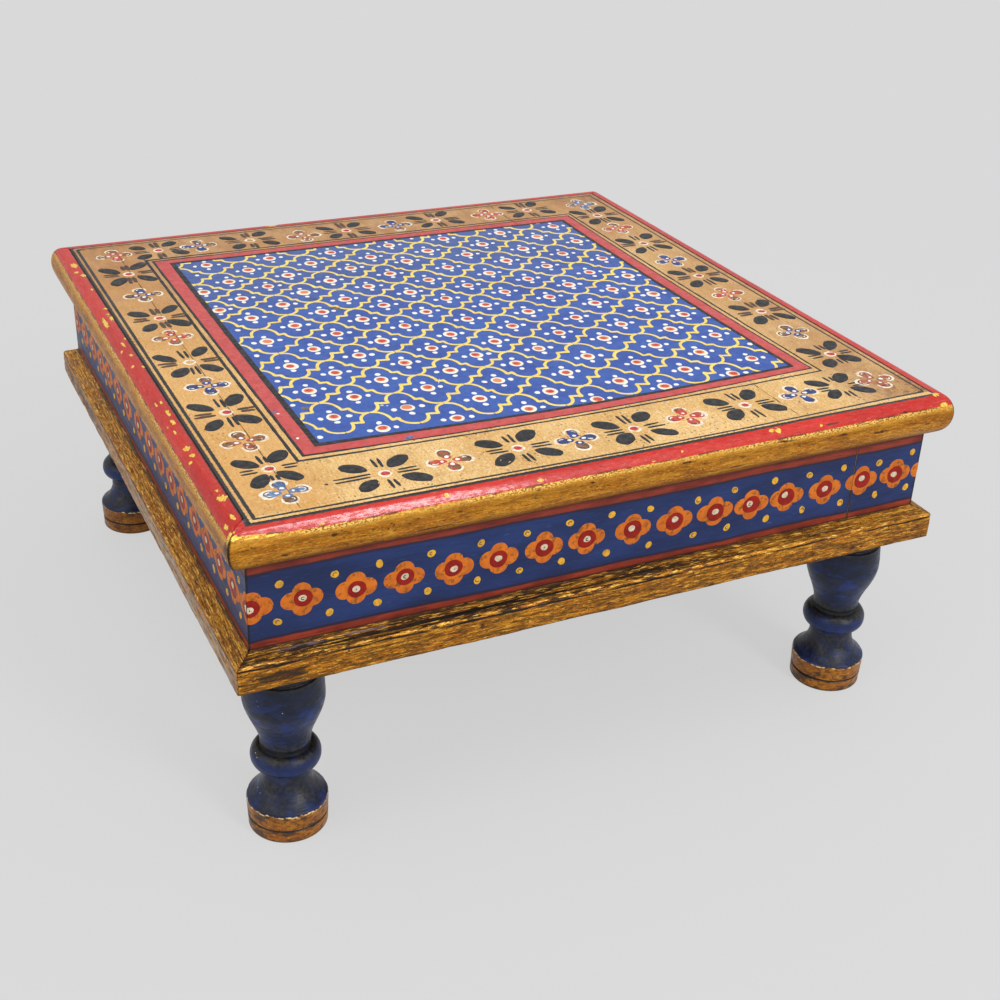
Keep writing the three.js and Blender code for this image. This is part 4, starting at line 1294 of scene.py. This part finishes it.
TOP_MARKS = (    # place, half length, half width, turn, colour
    (-136.5, -86.0, 1.6, 0.8, 0.4, "pale_blue"), (-135.6, -88.6, 0.8, 0.6, 0, "white"),
    (-135.5, -117, 1.0, 0.7, 1, "white"),
    (-87.4, -134.8, 2.6, 1.4, 0.3, "pale_blue"), (-62.6, 31.6, 2.0, 1.1, 0.2, "umber"),
    (-121.8, -87.0, 2.4, 1.1, -0.4, "umber"),
    (-86.2, -97.3, 0.8, 0.6, 0, "gold_line"), (-84.0, -98.6, 0.5, 0.4, 0, "gold_line"),
    (-116.6, -171.2, 1.3, 0.3, 0.9, "wash"),
    (-54.8, -174.2, 1.1, 0.3, 0.6, "wash"), (-57.8, -171.2, 0.8, 0.25, 0.9, "wash"),
    (-138.4, -164.6, 0.9, 0.7, 0, "brown"),
    (-49.0, -80.5, 4.2, 0.25, 1.1, "cream"), (152.6, -149.0, 1.4, 0.5, 0.9, "wash"),
)


def top_marks(colours):
    """Specks and scratches on the top, and hairlines where the seams of the boards show through."""
    work = {key: Paint(on_top, 120 + n) for n, key in enumerate(
        ("pale_blue", "white", "umber", "gold_line", "wash", "cream", "brown"))}
    random = np.random.default_rng(33)
    for x, y, half, wide, turned, key in TOP_MARKS:
        work[key].dab(x, y, (half, wide), TOP - 0.02, TOP + 0.22, steps=20, wobble=0.25, turned=turned)
    for seam in SEAMS:
        y = -178.0
        while y < 172:
            stop = y + random.uniform(4, 16)
            line = path((seam, y), (seam, min(stop, 178)), step=1.2)
            line[:, 0] += 0.12 * noise(line[:, 1:], (7,), 35, 2)
            work["brown"].stroke(line, random.uniform(0.2, 0.34), TOP - 0.02, TOP + 0.13, wobble=0.5)
            y = stop + random.uniform(3, 24)
    for key, strokes in work.items():
        strokes.make("top_marks_" + key, colours[key], "top_paint")


# What is painted on the sides

FRONT_FLOWERS = ((-179.2, 44.4), (-156.3, 44.9), (-131.3, 45.3), (-108.3, 45.1), (-84.2, 45.8), (-61.6, 45.1),
                 (-38.3, 44.9), (-15.9, 44.7), (9.3, 44.9), (32.7, 45.1), (55.7, 44.6), (76.9, 45.1),
                 (97.9, 44.9),
                 (121.7, 45.1), (144.6, 44.6), (166.5, 44.8), (186.5, 45.0))
FRONT_UPPER = ((-166.3, 35.1), (-141.1, 35.7), (-120.3, 35.1), (-95.4, 35.3), (-70.9, 35.3), (-47.6, 35.1),
               (-25.4, 34.2), (-3.0, 34.4), (18.2, 35.5), (45.0, 36.3), (66.0, 34.6), (89.7, 34.1),
               (110.8, 35.0),
               (132.0, 34.8), (154.6, 36.2), (175.6, 33.7))
FRONT_LOWER = ((-167.7, 53.9), (-143.9, 54.7), (-121.3, 55.0), (-97.0, 54.7), (-72.3, 54.7), (-50.7, 54.3),
               (-28.7, 54.2), (-4.4, 55.0), (19.0, 55.6), (44.3, 55.4), (63.9, 55.3), (87.2, 55.1),
               (109.1, 54.4),
               (133.1, 55.1), (155.2, 54.8), (175.2, 54.2))
LEFT_FLOWERS = tuple((u, 44.2)
                     for u in (-174.0, -151.0, -128.0, -106.0, -86.5, -63.0, -40.0, -14.5, 9.5, 31.0, 54.0,
                                         75.0, 98.0, 119.5, 140.0, 161.0, 181.0))
LEFT_LOWER = tuple((u, 53.2)
                   for u in (-162.0, -139.0, -117.0, -96.0, -75.0, -51.5, -27.0, -3.5, 19.0, 41.5, 64.5, 85.0,
                                       108.0, 129.0, 150.5, 171.0))


def side_places(side):
    if side == 0:
        return FRONT_FLOWERS, FRONT_UPPER, FRONT_LOWER
    if side == 3:
        return LEFT_FLOWERS, tuple((u, 35.2) for u, _ in LEFT_LOWER), LEFT_LOWER
    random = np.random.default_rng(70 + side)
    at = np.linspace(-180, 180, 17) + random.uniform(-1.6, 1.6, 17)
    between = (at[1:] + at[:-1]) / 2
    return (tuple((u, 44.9 + random.uniform(-0.5, 0.5)) for u in at),
            tuple((u + random.uniform(-1, 1), 35.1 + random.uniform(-0.9, 0.9)) for u in between),
            tuple((u + random.uniform(-1, 1), 54.7 + random.uniform(-0.7, 0.7)) for u in between))


def petals(random):
    """Four round petals with a soft joint between them, as a reach for each angle."""
    lobes = [(5.4, 0, 4.9, 4.6), (-5.4, 0, 4.9, 4.6), (0, 4.2, 4.7, 4.3), (0, -4.2, 4.7, 4.3),
             (0, 0, 6.3, 5.7)]
    lobes = [(x * random.uniform(0.95, 1.06), y * random.uniform(0.95, 1.06), a * random.uniform(0.95, 1.06),
              b * random.uniform(0.95, 1.06)) for x, y, a, b in lobes]

    def reach(angle):
        best = np.zeros_like(angle)
        for x, y, a, b in lobes:
            c, s = np.cos(angle) / a, np.sin(angle) / b
            p, q = x / a, y / b
            along = c * p + s * q
            square = c * c + s * s
            root = along ** 2 - square * (p * p + q * q - 1)
            best = np.maximum(best, np.where(root > 0, (along + np.sqrt(np.maximum(root, 0))) / square, 0))
        return best
    return reach


def side_flowers(side, cracks, colours):
    edges = [-BOX, *cracks, BOX]
    flowers, upper, lower = side_places(side)
    for part, (start, stop) in enumerate(zip(edges[:-1], edges[1:])):
        low, high = start + CRACK_HALF * (part > 0), stop - CRACK_HALF * (part < len(edges) - 2)
        random = np.random.default_rng(80 + side)
        work = {key: Paint(on_side(side), 90 + 4 * side + n, low, high)
                for n, key in enumerate(("petal", "disc", "bone", "dot", "smudge"))}
        for number, (u, d) in enumerate(flowers):
            z = HEIGHT - d
            shape = petals(random)
            off = random.uniform(-0.6, 0.6, 2)
            pale = random.uniform(-0.7, 0.7, 2) + np.array((-0.5, 0.9)) * smooth(0, 60, u)
            swirl = random.random()
            if not low - 11 < u < high + 11:
                continue
            work["petal"].dab(u, z, shape, 0.02, 0.19, steps=72, wobble=0.03, rise=0.9)
            if low - 4.6 < u + off[0] < high + 4.6:
                wide = 4.7 + 0.6 * float(smooth(-120, 20, u))
                work["disc"].dab(u + off[0], z + off[1], (wide, 0.95 * wide), 0.1, 0.25, steps=36,
                                 wobble=0.07)
            if low - 1.9 < u + off[0] + pale[0] < high + 1.9:
                c = (u + off[0] + pale[0], z + off[1] + pale[1])
                work["bone"].dab(*c, (1.95, 1.75), 0.15, 0.36, steps=22, wobble=0.14)
                if swirl < 0.62 - 0.004 * u:
                    ring = np.array([(c[0] + math.cos(a) * (0.35 + 0.1 * a),
                                      c[1] + math.sin(a) * (0.35 + 0.1 * a))
                                     for a in np.linspace(0.5, 5.6, 20) * (1 if number % 2 else -1)])
                    work["smudge"].stroke(ring, 0.62, 0.3, 0.4, wobble=0.3)
        for row in (upper, lower):
            for u, d in row:
                size = (random.uniform(1.9, 2.25), random.uniform(1.6, 1.95))
                lean = random.uniform(-1.6, 1.6)
                smudged = random.random()
                if not low - 2 < u < high + 2:
                    continue
                z = HEIGHT - d
                work["dot"].dab(u, z, size, 0.02, 0.27, steps=22, wobble=0.1, turned=lean)
                if smudged < (0.75 if row is upper else 0.45):
                    arc = circle(u, z, (0.9, 0.75), np.linspace(0.6 + lean, 4.4 + lean, 14))
                    work["smudge"].stroke(arc, 0.55, 0.2, 0.31, wobble=0.35)
        for key, strokes in work.items():
            if strokes.verts:
                strokes.make("side_" + SIDES[side] + "_" + key
                             + ("" if len(edges) == 2 else "_" + str(part + 1)),
                             colours[key], "apron_paint")


# The strips with their wear

# Where the red of each side's rim gives way to gold: places along it, distances across the strip
CREST = (((-190, -181, -166, -148, 100, 181), (13.8, 14.8, 16.4, 17.1, 17.2, 16.4)),
         ((-181, 181), (16.6, 16.2)), ((-181, 181), (16.4, 16.4)),
         ((-181, 0, 181), (14.3, 15.0, 16.2)))
FLAKES = (    # for each side: along it, place across the strip, length and width
    ((-91.5, 14, 2.5, 3), (-149, 16, 3, 1), (-186, 15.4, 6, 2.6), (-179, 16.4, 7, 1.4), (-171, 16.9, 8, 1.1),
     (-187, 12.5, 2.2, 2.4), (-46, 15.3, 5, 1.5), (12, 16.4, 2, 1), (28, 14.5, 2, 1),
     (78.5, 12.6, 3, 2.5), (82.4, 13, 3.5, 3.5), (107, 14.5, 2.2, 1.6), (181, 9.3, 5, 3), (183, 16, 5, 3)),
    ((-150, 12, 4, 2), (-96, 15, 6, 2), (-30, 13, 3, 2), (44, 14.6, 5, 2), (120, 12.5, 4, 3),
     (168, 14, 8, 3)),
    ((52, 9, 9, 5), (-70, 14, 5, 2), (-140, 13, 4, 3), (120, 15, 6, 2), (10, 14.8, 3, 2)),
    ((-149.6, 8.4, 10, 4), (-137.9, 9.5, 4, 2.5), (-131, 6.5, 5, 4.5), (-106.6, 7.2, 4, 1.5),
     (-74.5, 6.7, 3, 3),
     (-65, 7.2, 4, 2), (-59, 6.7, 8, 2.5), (-55, 11, 18, 2.5), (-28.3, 6.5, 4, 1.5), (-21, 9, 7, 2),
     (-13.8, 11.7, 3, 2),
     (-5.6, 8.4, 3.5, 2), (11.3, 6.2, 4, 1.5), (8, 11, 3.5, 2), (56.5, 8.4, 6, 1.5), (56.5, 11.2, 6, 1.2),
     (69, 8.4, 10, 2), (79.6, 8.7, 8, 2), (90.2, 10.6, 5, 1.2), (82, 12.3, 3, 1.2), (108.6, 10, 5, 4),
     (116, 9.5, 4, 3),
     (121, 11.7, 3, 2.5), (153, 8.4, 3, 2), (160, 8.4, 6, 5), (177.3, 9, 6, 2), (188, 14.5, 5, 7),
     (181, 13.6, 5, 2.5)),
)
EDGING_MARKS = (
    ((114, 14.8, 14, 1.4), (159, 16, 10, 1.6), (-126.5, 23.2, 2.2, 1.8), (-144, 21.8, 4.5, 2.6),
     (-20, 21, 4, 1.5),
     (-48, 19.6, 5, 1.4), (30, 20.2, 12, 1.6), (86, 19, 16, 1.5), (120, 21.5, 10, 1.8), (-166, 27.5, 5, 2.4),
     (143, 24, 14, 1.6), (60, 28, 20, 1.3), (-98, 29, 24, 1.3)),
    ((-60, 22, 12, 2), (90, 24, 16, 2)),
    ((20, 22, 14, 2), (-110, 20, 6, 3)),
    ((187, 21.5, 7, 10), (40, 24, 14, 2), (-90, 22, 12, 2)),
)
MOULDING_MARKS = (
    ((-170, 21.5, 40, 6.5), (-158, 9.5, 34, 2.6), (20, 10.5, 60, 2.4), (-72.4, 20, 4, 3), (139, 24, 5, 3)),
    ((-40, 10.5, 50, 2.4), (150, 22, 16, 4)),
    ((60, 10.5, 60, 2.4), (-120, 21, 16, 5)),
    ((-178, 8.5, 6, 3), (150, 18, 20, 3), (60, 20, 16, 2.5), (-125, 22, 120, 7)),
)


# How dark the streaks along the moulding of each side are made, and how much painted reflection of the pale
# surroundings lies on its fascia: places, amounts
DARKENING = (((-181, -60, 20, 90, 181), (0.9, 1.0, 0.9, 0.5, 0.35)), ((-181, 181), (0.5, 0.5)),
        ((-181, 181), (0.6, 0.4)),
        ((-181, 120, 181), (0.12, 0.15, 0.4)))


GRAZING_REFLECTION = (((-181, 181), (0, 0)), ((-181, 181), (0.2, 0.2)), ((-181, 181), (0.2, 0.2)),
        ((-181, -60, 60, 181), (0.05, 0.4, 0.9, 0.7)))


def run_along(verts, side):
    return (verts[:, 0], verts[:, 1], -verts[:, 0], -verts[:, 1])[side]


def nearness(u, s, spots):
    """1 in the middle of a spot, 0 at its edge and down to -1 away from it."""
    best = np.full(u.shape, -1.0)
    for at, across, length, width in spots:
        best = np.maximum(best, 1 - np.hypot((u - at) / (length / 2), (s - across) / (width / 2)))
    return best


def edging(side, material):
    verts, faces, uv, mitre, s = sweep(edging_section(), RIM_START, side, 0.06, edging_relief)
    along = run_along(verts, side)
    outer, inner = rim_lines(verts[:, 0], verts[:, 1], side, s - 6.0)
    data = {"outer": outer, "inner": inner, "fall": s - np.interp(along, *CREST[side]),
            "flake": nearness(along, s, FLAKES[side]), "mark": nearness(along, s, EDGING_MARKS[side]),
            "mitre": mitre,
            "shine": np.full(len(s), (1.0, 0.3, 0.2, 0.2)[side])}
    piece("edging_" + SIDES[side], verts, faces, material, ["top_edging_" + SIDES[side]], uv,
          data, 60)


def moulding(side, material):
    verts, faces, uv, mitre, s = sweep(moulding_section(), MOULDING_START, side, 0.04, moulding_relief)
    along = run_along(verts, side)
    darkening = np.interp(along, *DARKENING[side])
    data = {"mark": nearness(along, s, MOULDING_MARKS[side]), "mitre": mitre, "darkening": darkening,
            # the attribute "wash" carries the painted reflection on the fascia
            "wash": np.interp(along, *GRAZING_REFLECTION[side]),
            # painted reflection streaks on the front slope
            "reflection_streak": nearness(along, s, ((-158, 8.6, 34, 2.0), (-128, 8.2, 30, 1.6)) if side == 0 else ())}
    piece("moulding_" + SIDES[side], verts, faces, material,
          ["base_moulding_" + SIDES[side]],
          uv, data, 60)


# The table

COATS = {    # name, light and dark colour, size of the brush marks, roughness, mottling and its amount, shine
    "field": ("Field_blue", (60, 102, 186), (46, 80, 164), 22, 0.48, (44, 62, 112), 0.45),
    "band": ("Field_red", (214, 92, 88), (194, 72, 70), 5, 0.48, (168, 50, 52), 0.5),
    "black": ("Charcoal", (44, 45, 48), (30, 30, 33), 3, 0.5, (92, 90, 86), 0.4, 0.3),
    "brown": ("Brown_line", (96, 68, 46), (70, 50, 38), 3, 0.52),
    "gold_line": ("Lattice_gold", (255, 234, 120), (246, 210, 94), 5, 0.45, (246, 204, 140), 0.35),
    "cream": ("Cream", (255, 250, 236), (246, 232, 204), 3),
    "glow": ("Orange_glow", (240, 152, 92), (226, 116, 76), 4),
    "umber": ("Umber", (160, 116, 76), (112, 80, 56), 2.5, 0.52, (70, 54, 44)),
    "heart": ("Red_heart", (216, 76, 58), (200, 54, 54), 3, 0.48, (232, 132, 84)),
    "berry": ("Berry", (208, 56, 58), (172, 38, 48), 3, 0.48, (226, 120, 104), 0.5),
    "halo": ("Halo", (255, 248, 232), (238, 222, 192), 1.6, 0.5, (196, 160, 112), 0.7),
    "wash": ("Wash", (230, 184, 112), (206, 152, 84), 2, 0.52),
    "white": ("White", (255, 254, 250), (242, 238, 230), 2),
    "red": ("Flower_red", (206, 74, 56), (180, 60, 50), 3, 0.5, (216, 130, 96), 0.4),
    "blue": ("Flower_blue", (44, 76, 158), (36, 52, 108), 3, 0.5, (60, 62, 70), 0.5),
    "pale_blue": ("Flower_pale_blue", (120, 144, 182), (70, 92, 140), 3),
    "rust": ("Flower_rust", (182, 96, 72), (150, 74, 56), 3, 0.5, (200, 150, 110), 0.5),
    "petal": ("Petal_orange", (214, 116, 34), (186, 96, 28), 5, 0.45, (126, 76, 30), 0.9, 0.15),
    "disc": ("Disc_red", (152, 26, 9), (128, 18, 9), 4, 0.42, (108, 16, 10), 0.6, 0.2),
    "bone": ("Bone_dot", (222, 208, 180), (190, 172, 140), 1.6, 0.5, (150, 140, 124), 0.7),
    "dot": ("Dot_yellow", (232, 176, 34), (196, 142, 30), 2, 0.45, (160, 112, 40)),
    "smudge": ("Smudge", (96, 76, 56), (66, 54, 44), 1.5, 0.55),
}
coats = {key: paint(row, STAINS if key == "field" else ()) for key, row in COATS.items()}

ground = top_ground()
for name, left, right in zip(("left", "center", "right"), (-BOX + BOARD_INSET, *SEAMS),
                             (*SEAMS, BOX - BOARD_INSET)):
    board("board_" + name, left, right, "top_board_" + name, ground)
field(coats)
lattice(coats)
border_flowers(coats)
top_marks(coats)

rim_coat, base_coat, side_coat, leg_coat = edging_paint(), moulding_paint(), apron_paint(), leg_paint()
CRACKS = ((POST_INNER,), (-POST_INNER,), (-POST_INNER, POST_INNER), ())
for number in range(4):
    edging(number, rim_coat)
    moulding(number, base_coat)
    coat(number, CRACKS[number], side_coat)
    side_flowers(number, CRACKS[number], coats)
for number, name in enumerate(CORNERS):
    leg("turned_leg_" + name, number, leg_coat)

along_x, along_y, upright, metal = bare_wood(0), bare_wood(1), bare_wood(2), steel()
for name, thing in cad.items():
    if name.startswith(("top_nail", "edging_brad", "moulding_brad", "batten_screw")):
        finish = metal
    elif name.startswith("post"):
        finish = upright
    elif name in ("apron_left", "apron_right"):
        finish = along_y
    else:
        finish = along_x
    thing.data.materials.clear()
    thing.data.materials.append(finish)


# Floor, light and camera

GREY = (217, 217, 217)
PALE = (*srgb(*GREY), 1.0)
FLOOR_RADIUS, FLOOR_SIDES = 4, 72
FLOOR_CLEAR = (0.42, 0.95)    # how far from the middle the floor begins to fade, and is gone
FLOOR_GLOW = 0.8     # how much of what is seen of the floor is its own light
SOFTBOX = (0.495, -1.674, 1.107)
SOFTBOX_AIM = 0.12   # the height over the middle that it points at

floor_mesh = bpy.data.meshes.new("floor")
ring = [(math.cos(a) * FLOOR_RADIUS, math.sin(a) * FLOOR_RADIUS, 0)
        for a in np.linspace(0, 2 * math.pi, FLOOR_SIDES + 1)[:-1]]
floor_mesh.from_pydata(ring, [], [list(range(FLOOR_SIDES))])
floor = bpy.data.objects.new("floor", floor_mesh)
bpy.context.scene.collection.objects.link(floor)
m = Shader("Floor")
m.put(m.surface, "Base Color", m.mix(m.patches((0.3, 0.7), 300, detail=2), GREY, (216, 216, 216)))
m.surface.inputs["Roughness"].default_value = 0.9
m.surface.inputs["Specular IOR Level"].default_value = 0.0
away = m.add("VectorMath", {"operation": "LENGTH"}, i0=m.coords.outputs["Object"]).outputs["Value"]
clear = m.add("BsdfTransparent").outputs["BSDF"]
rays = m.add("LightPath").outputs
watched = m.most(rays["Is Camera Ray"], m.most(rays["Is Glossy Ray"], rays["Is Transmission Ray"]))
soft = m.add("MixShader", Fac=m.times(watched, FLOOR_GLOW))
m.tree.links.new(m.surface.outputs["BSDF"], soft.inputs[1])
m.tree.links.new(m.add("Emission", Color=PALE, Strength=1.0).outputs["Emission"], soft.inputs[2])
blend = m.add("MixShader", Fac=m.span(away, *FLOOR_CLEAR))
m.tree.links.new(soft.outputs[0], blend.inputs[1])
m.tree.links.new(clear, blend.inputs[2])
m.tree.links.new(blend.outputs[0], m.tree.nodes["Material Output"].inputs["Surface"])
floor_mesh.materials.append(m.material)

FILL = 0.62
world = bpy.data.worlds.new("Studio")
world.use_nodes = True
nodes, links = world.node_tree.nodes, world.node_tree.links
seen, fill = nodes["Background"], nodes.new("ShaderNodeBackground")
seen.inputs["Color"].default_value = PALE
fill.inputs["Color"].default_value = (1, 1, 1, 1)
fill.inputs["Strength"].default_value = FILL
seen_by = nodes.new("ShaderNodeLightPath")
total = seen_by.outputs["Is Camera Ray"]
for other in ("Is Glossy Ray", "Is Transmission Ray"):
    add = nodes.new("ShaderNodeMath")
    add.operation = "MAXIMUM"
    links.new(total, add.inputs[0])
    links.new(seen_by.outputs[other], add.inputs[1])
    total = add.outputs[0]
choose = nodes.new("ShaderNodeMixShader")
links.new(total, choose.inputs["Fac"])
links.new(fill.outputs["Background"], choose.inputs[1])
links.new(seen.outputs["Background"], choose.inputs[2])
links.new(choose.outputs[0], nodes["World Output"].inputs["Surface"])
bpy.context.scene.world = world


def lamp(name, towards, strength, spread):
    light = bpy.data.lights.new(name, "SUN")
    light.energy = strength
    light.angle = math.radians(spread)
    thing = bpy.data.objects.new(name, light)
    bpy.context.scene.collection.objects.link(thing)
    x, y, z = towards
    thing.rotation_euler = (math.acos(z / math.sqrt(x * x + y * y + z * z)), 0,
                            math.atan2(y, x) + math.pi / 2)


lamp("Key_overhead", (-0.2, -0.15, 1.0), 0.75, 50)
lamp("Key_left", (-1.0, -0.2, 0.5), 0.42, 40)

strip = bpy.data.lights.new("Key_strip", "AREA")
strip.shape, strip.size, strip.size_y = "RECTANGLE", 0.34, 1.15
strip.energy = 17.0
strip.color = (0.95, 0.95, 1.0)
softbox = bpy.data.objects.new("Key_strip", strip)
bpy.context.scene.collection.objects.link(softbox)
softbox.location = (x, y, z) = SOFTBOX
softbox.rotation_euler = (math.atan2(math.hypot(x, y), z - SOFTBOX_AIM), 0, math.atan2(y, x) + math.pi / 2)

camera = bpy.data.cameras.new("Camera")
camera.lens, camera.sensor_width, camera.sensor_fit = 53.19, 36.0, "HORIZONTAL"
camera.clip_start, camera.clip_end = 0.01, 50
eye = bpy.data.objects.new("Camera", camera)
bpy.context.scene.collection.objects.link(eye)
eye.matrix_world = Matrix((
    (0.90252, 0.17513, -0.39342, -0.32357),
    (-0.42909, 0.44315, -0.78709, -0.70376),
    (0.03651, 0.87918, 0.47510, 0.48278),
    (0, 0, 0, 1)))
bpy.context.scene.camera = eye
bpy.context.scene.view_settings.view_transform = "Standard"
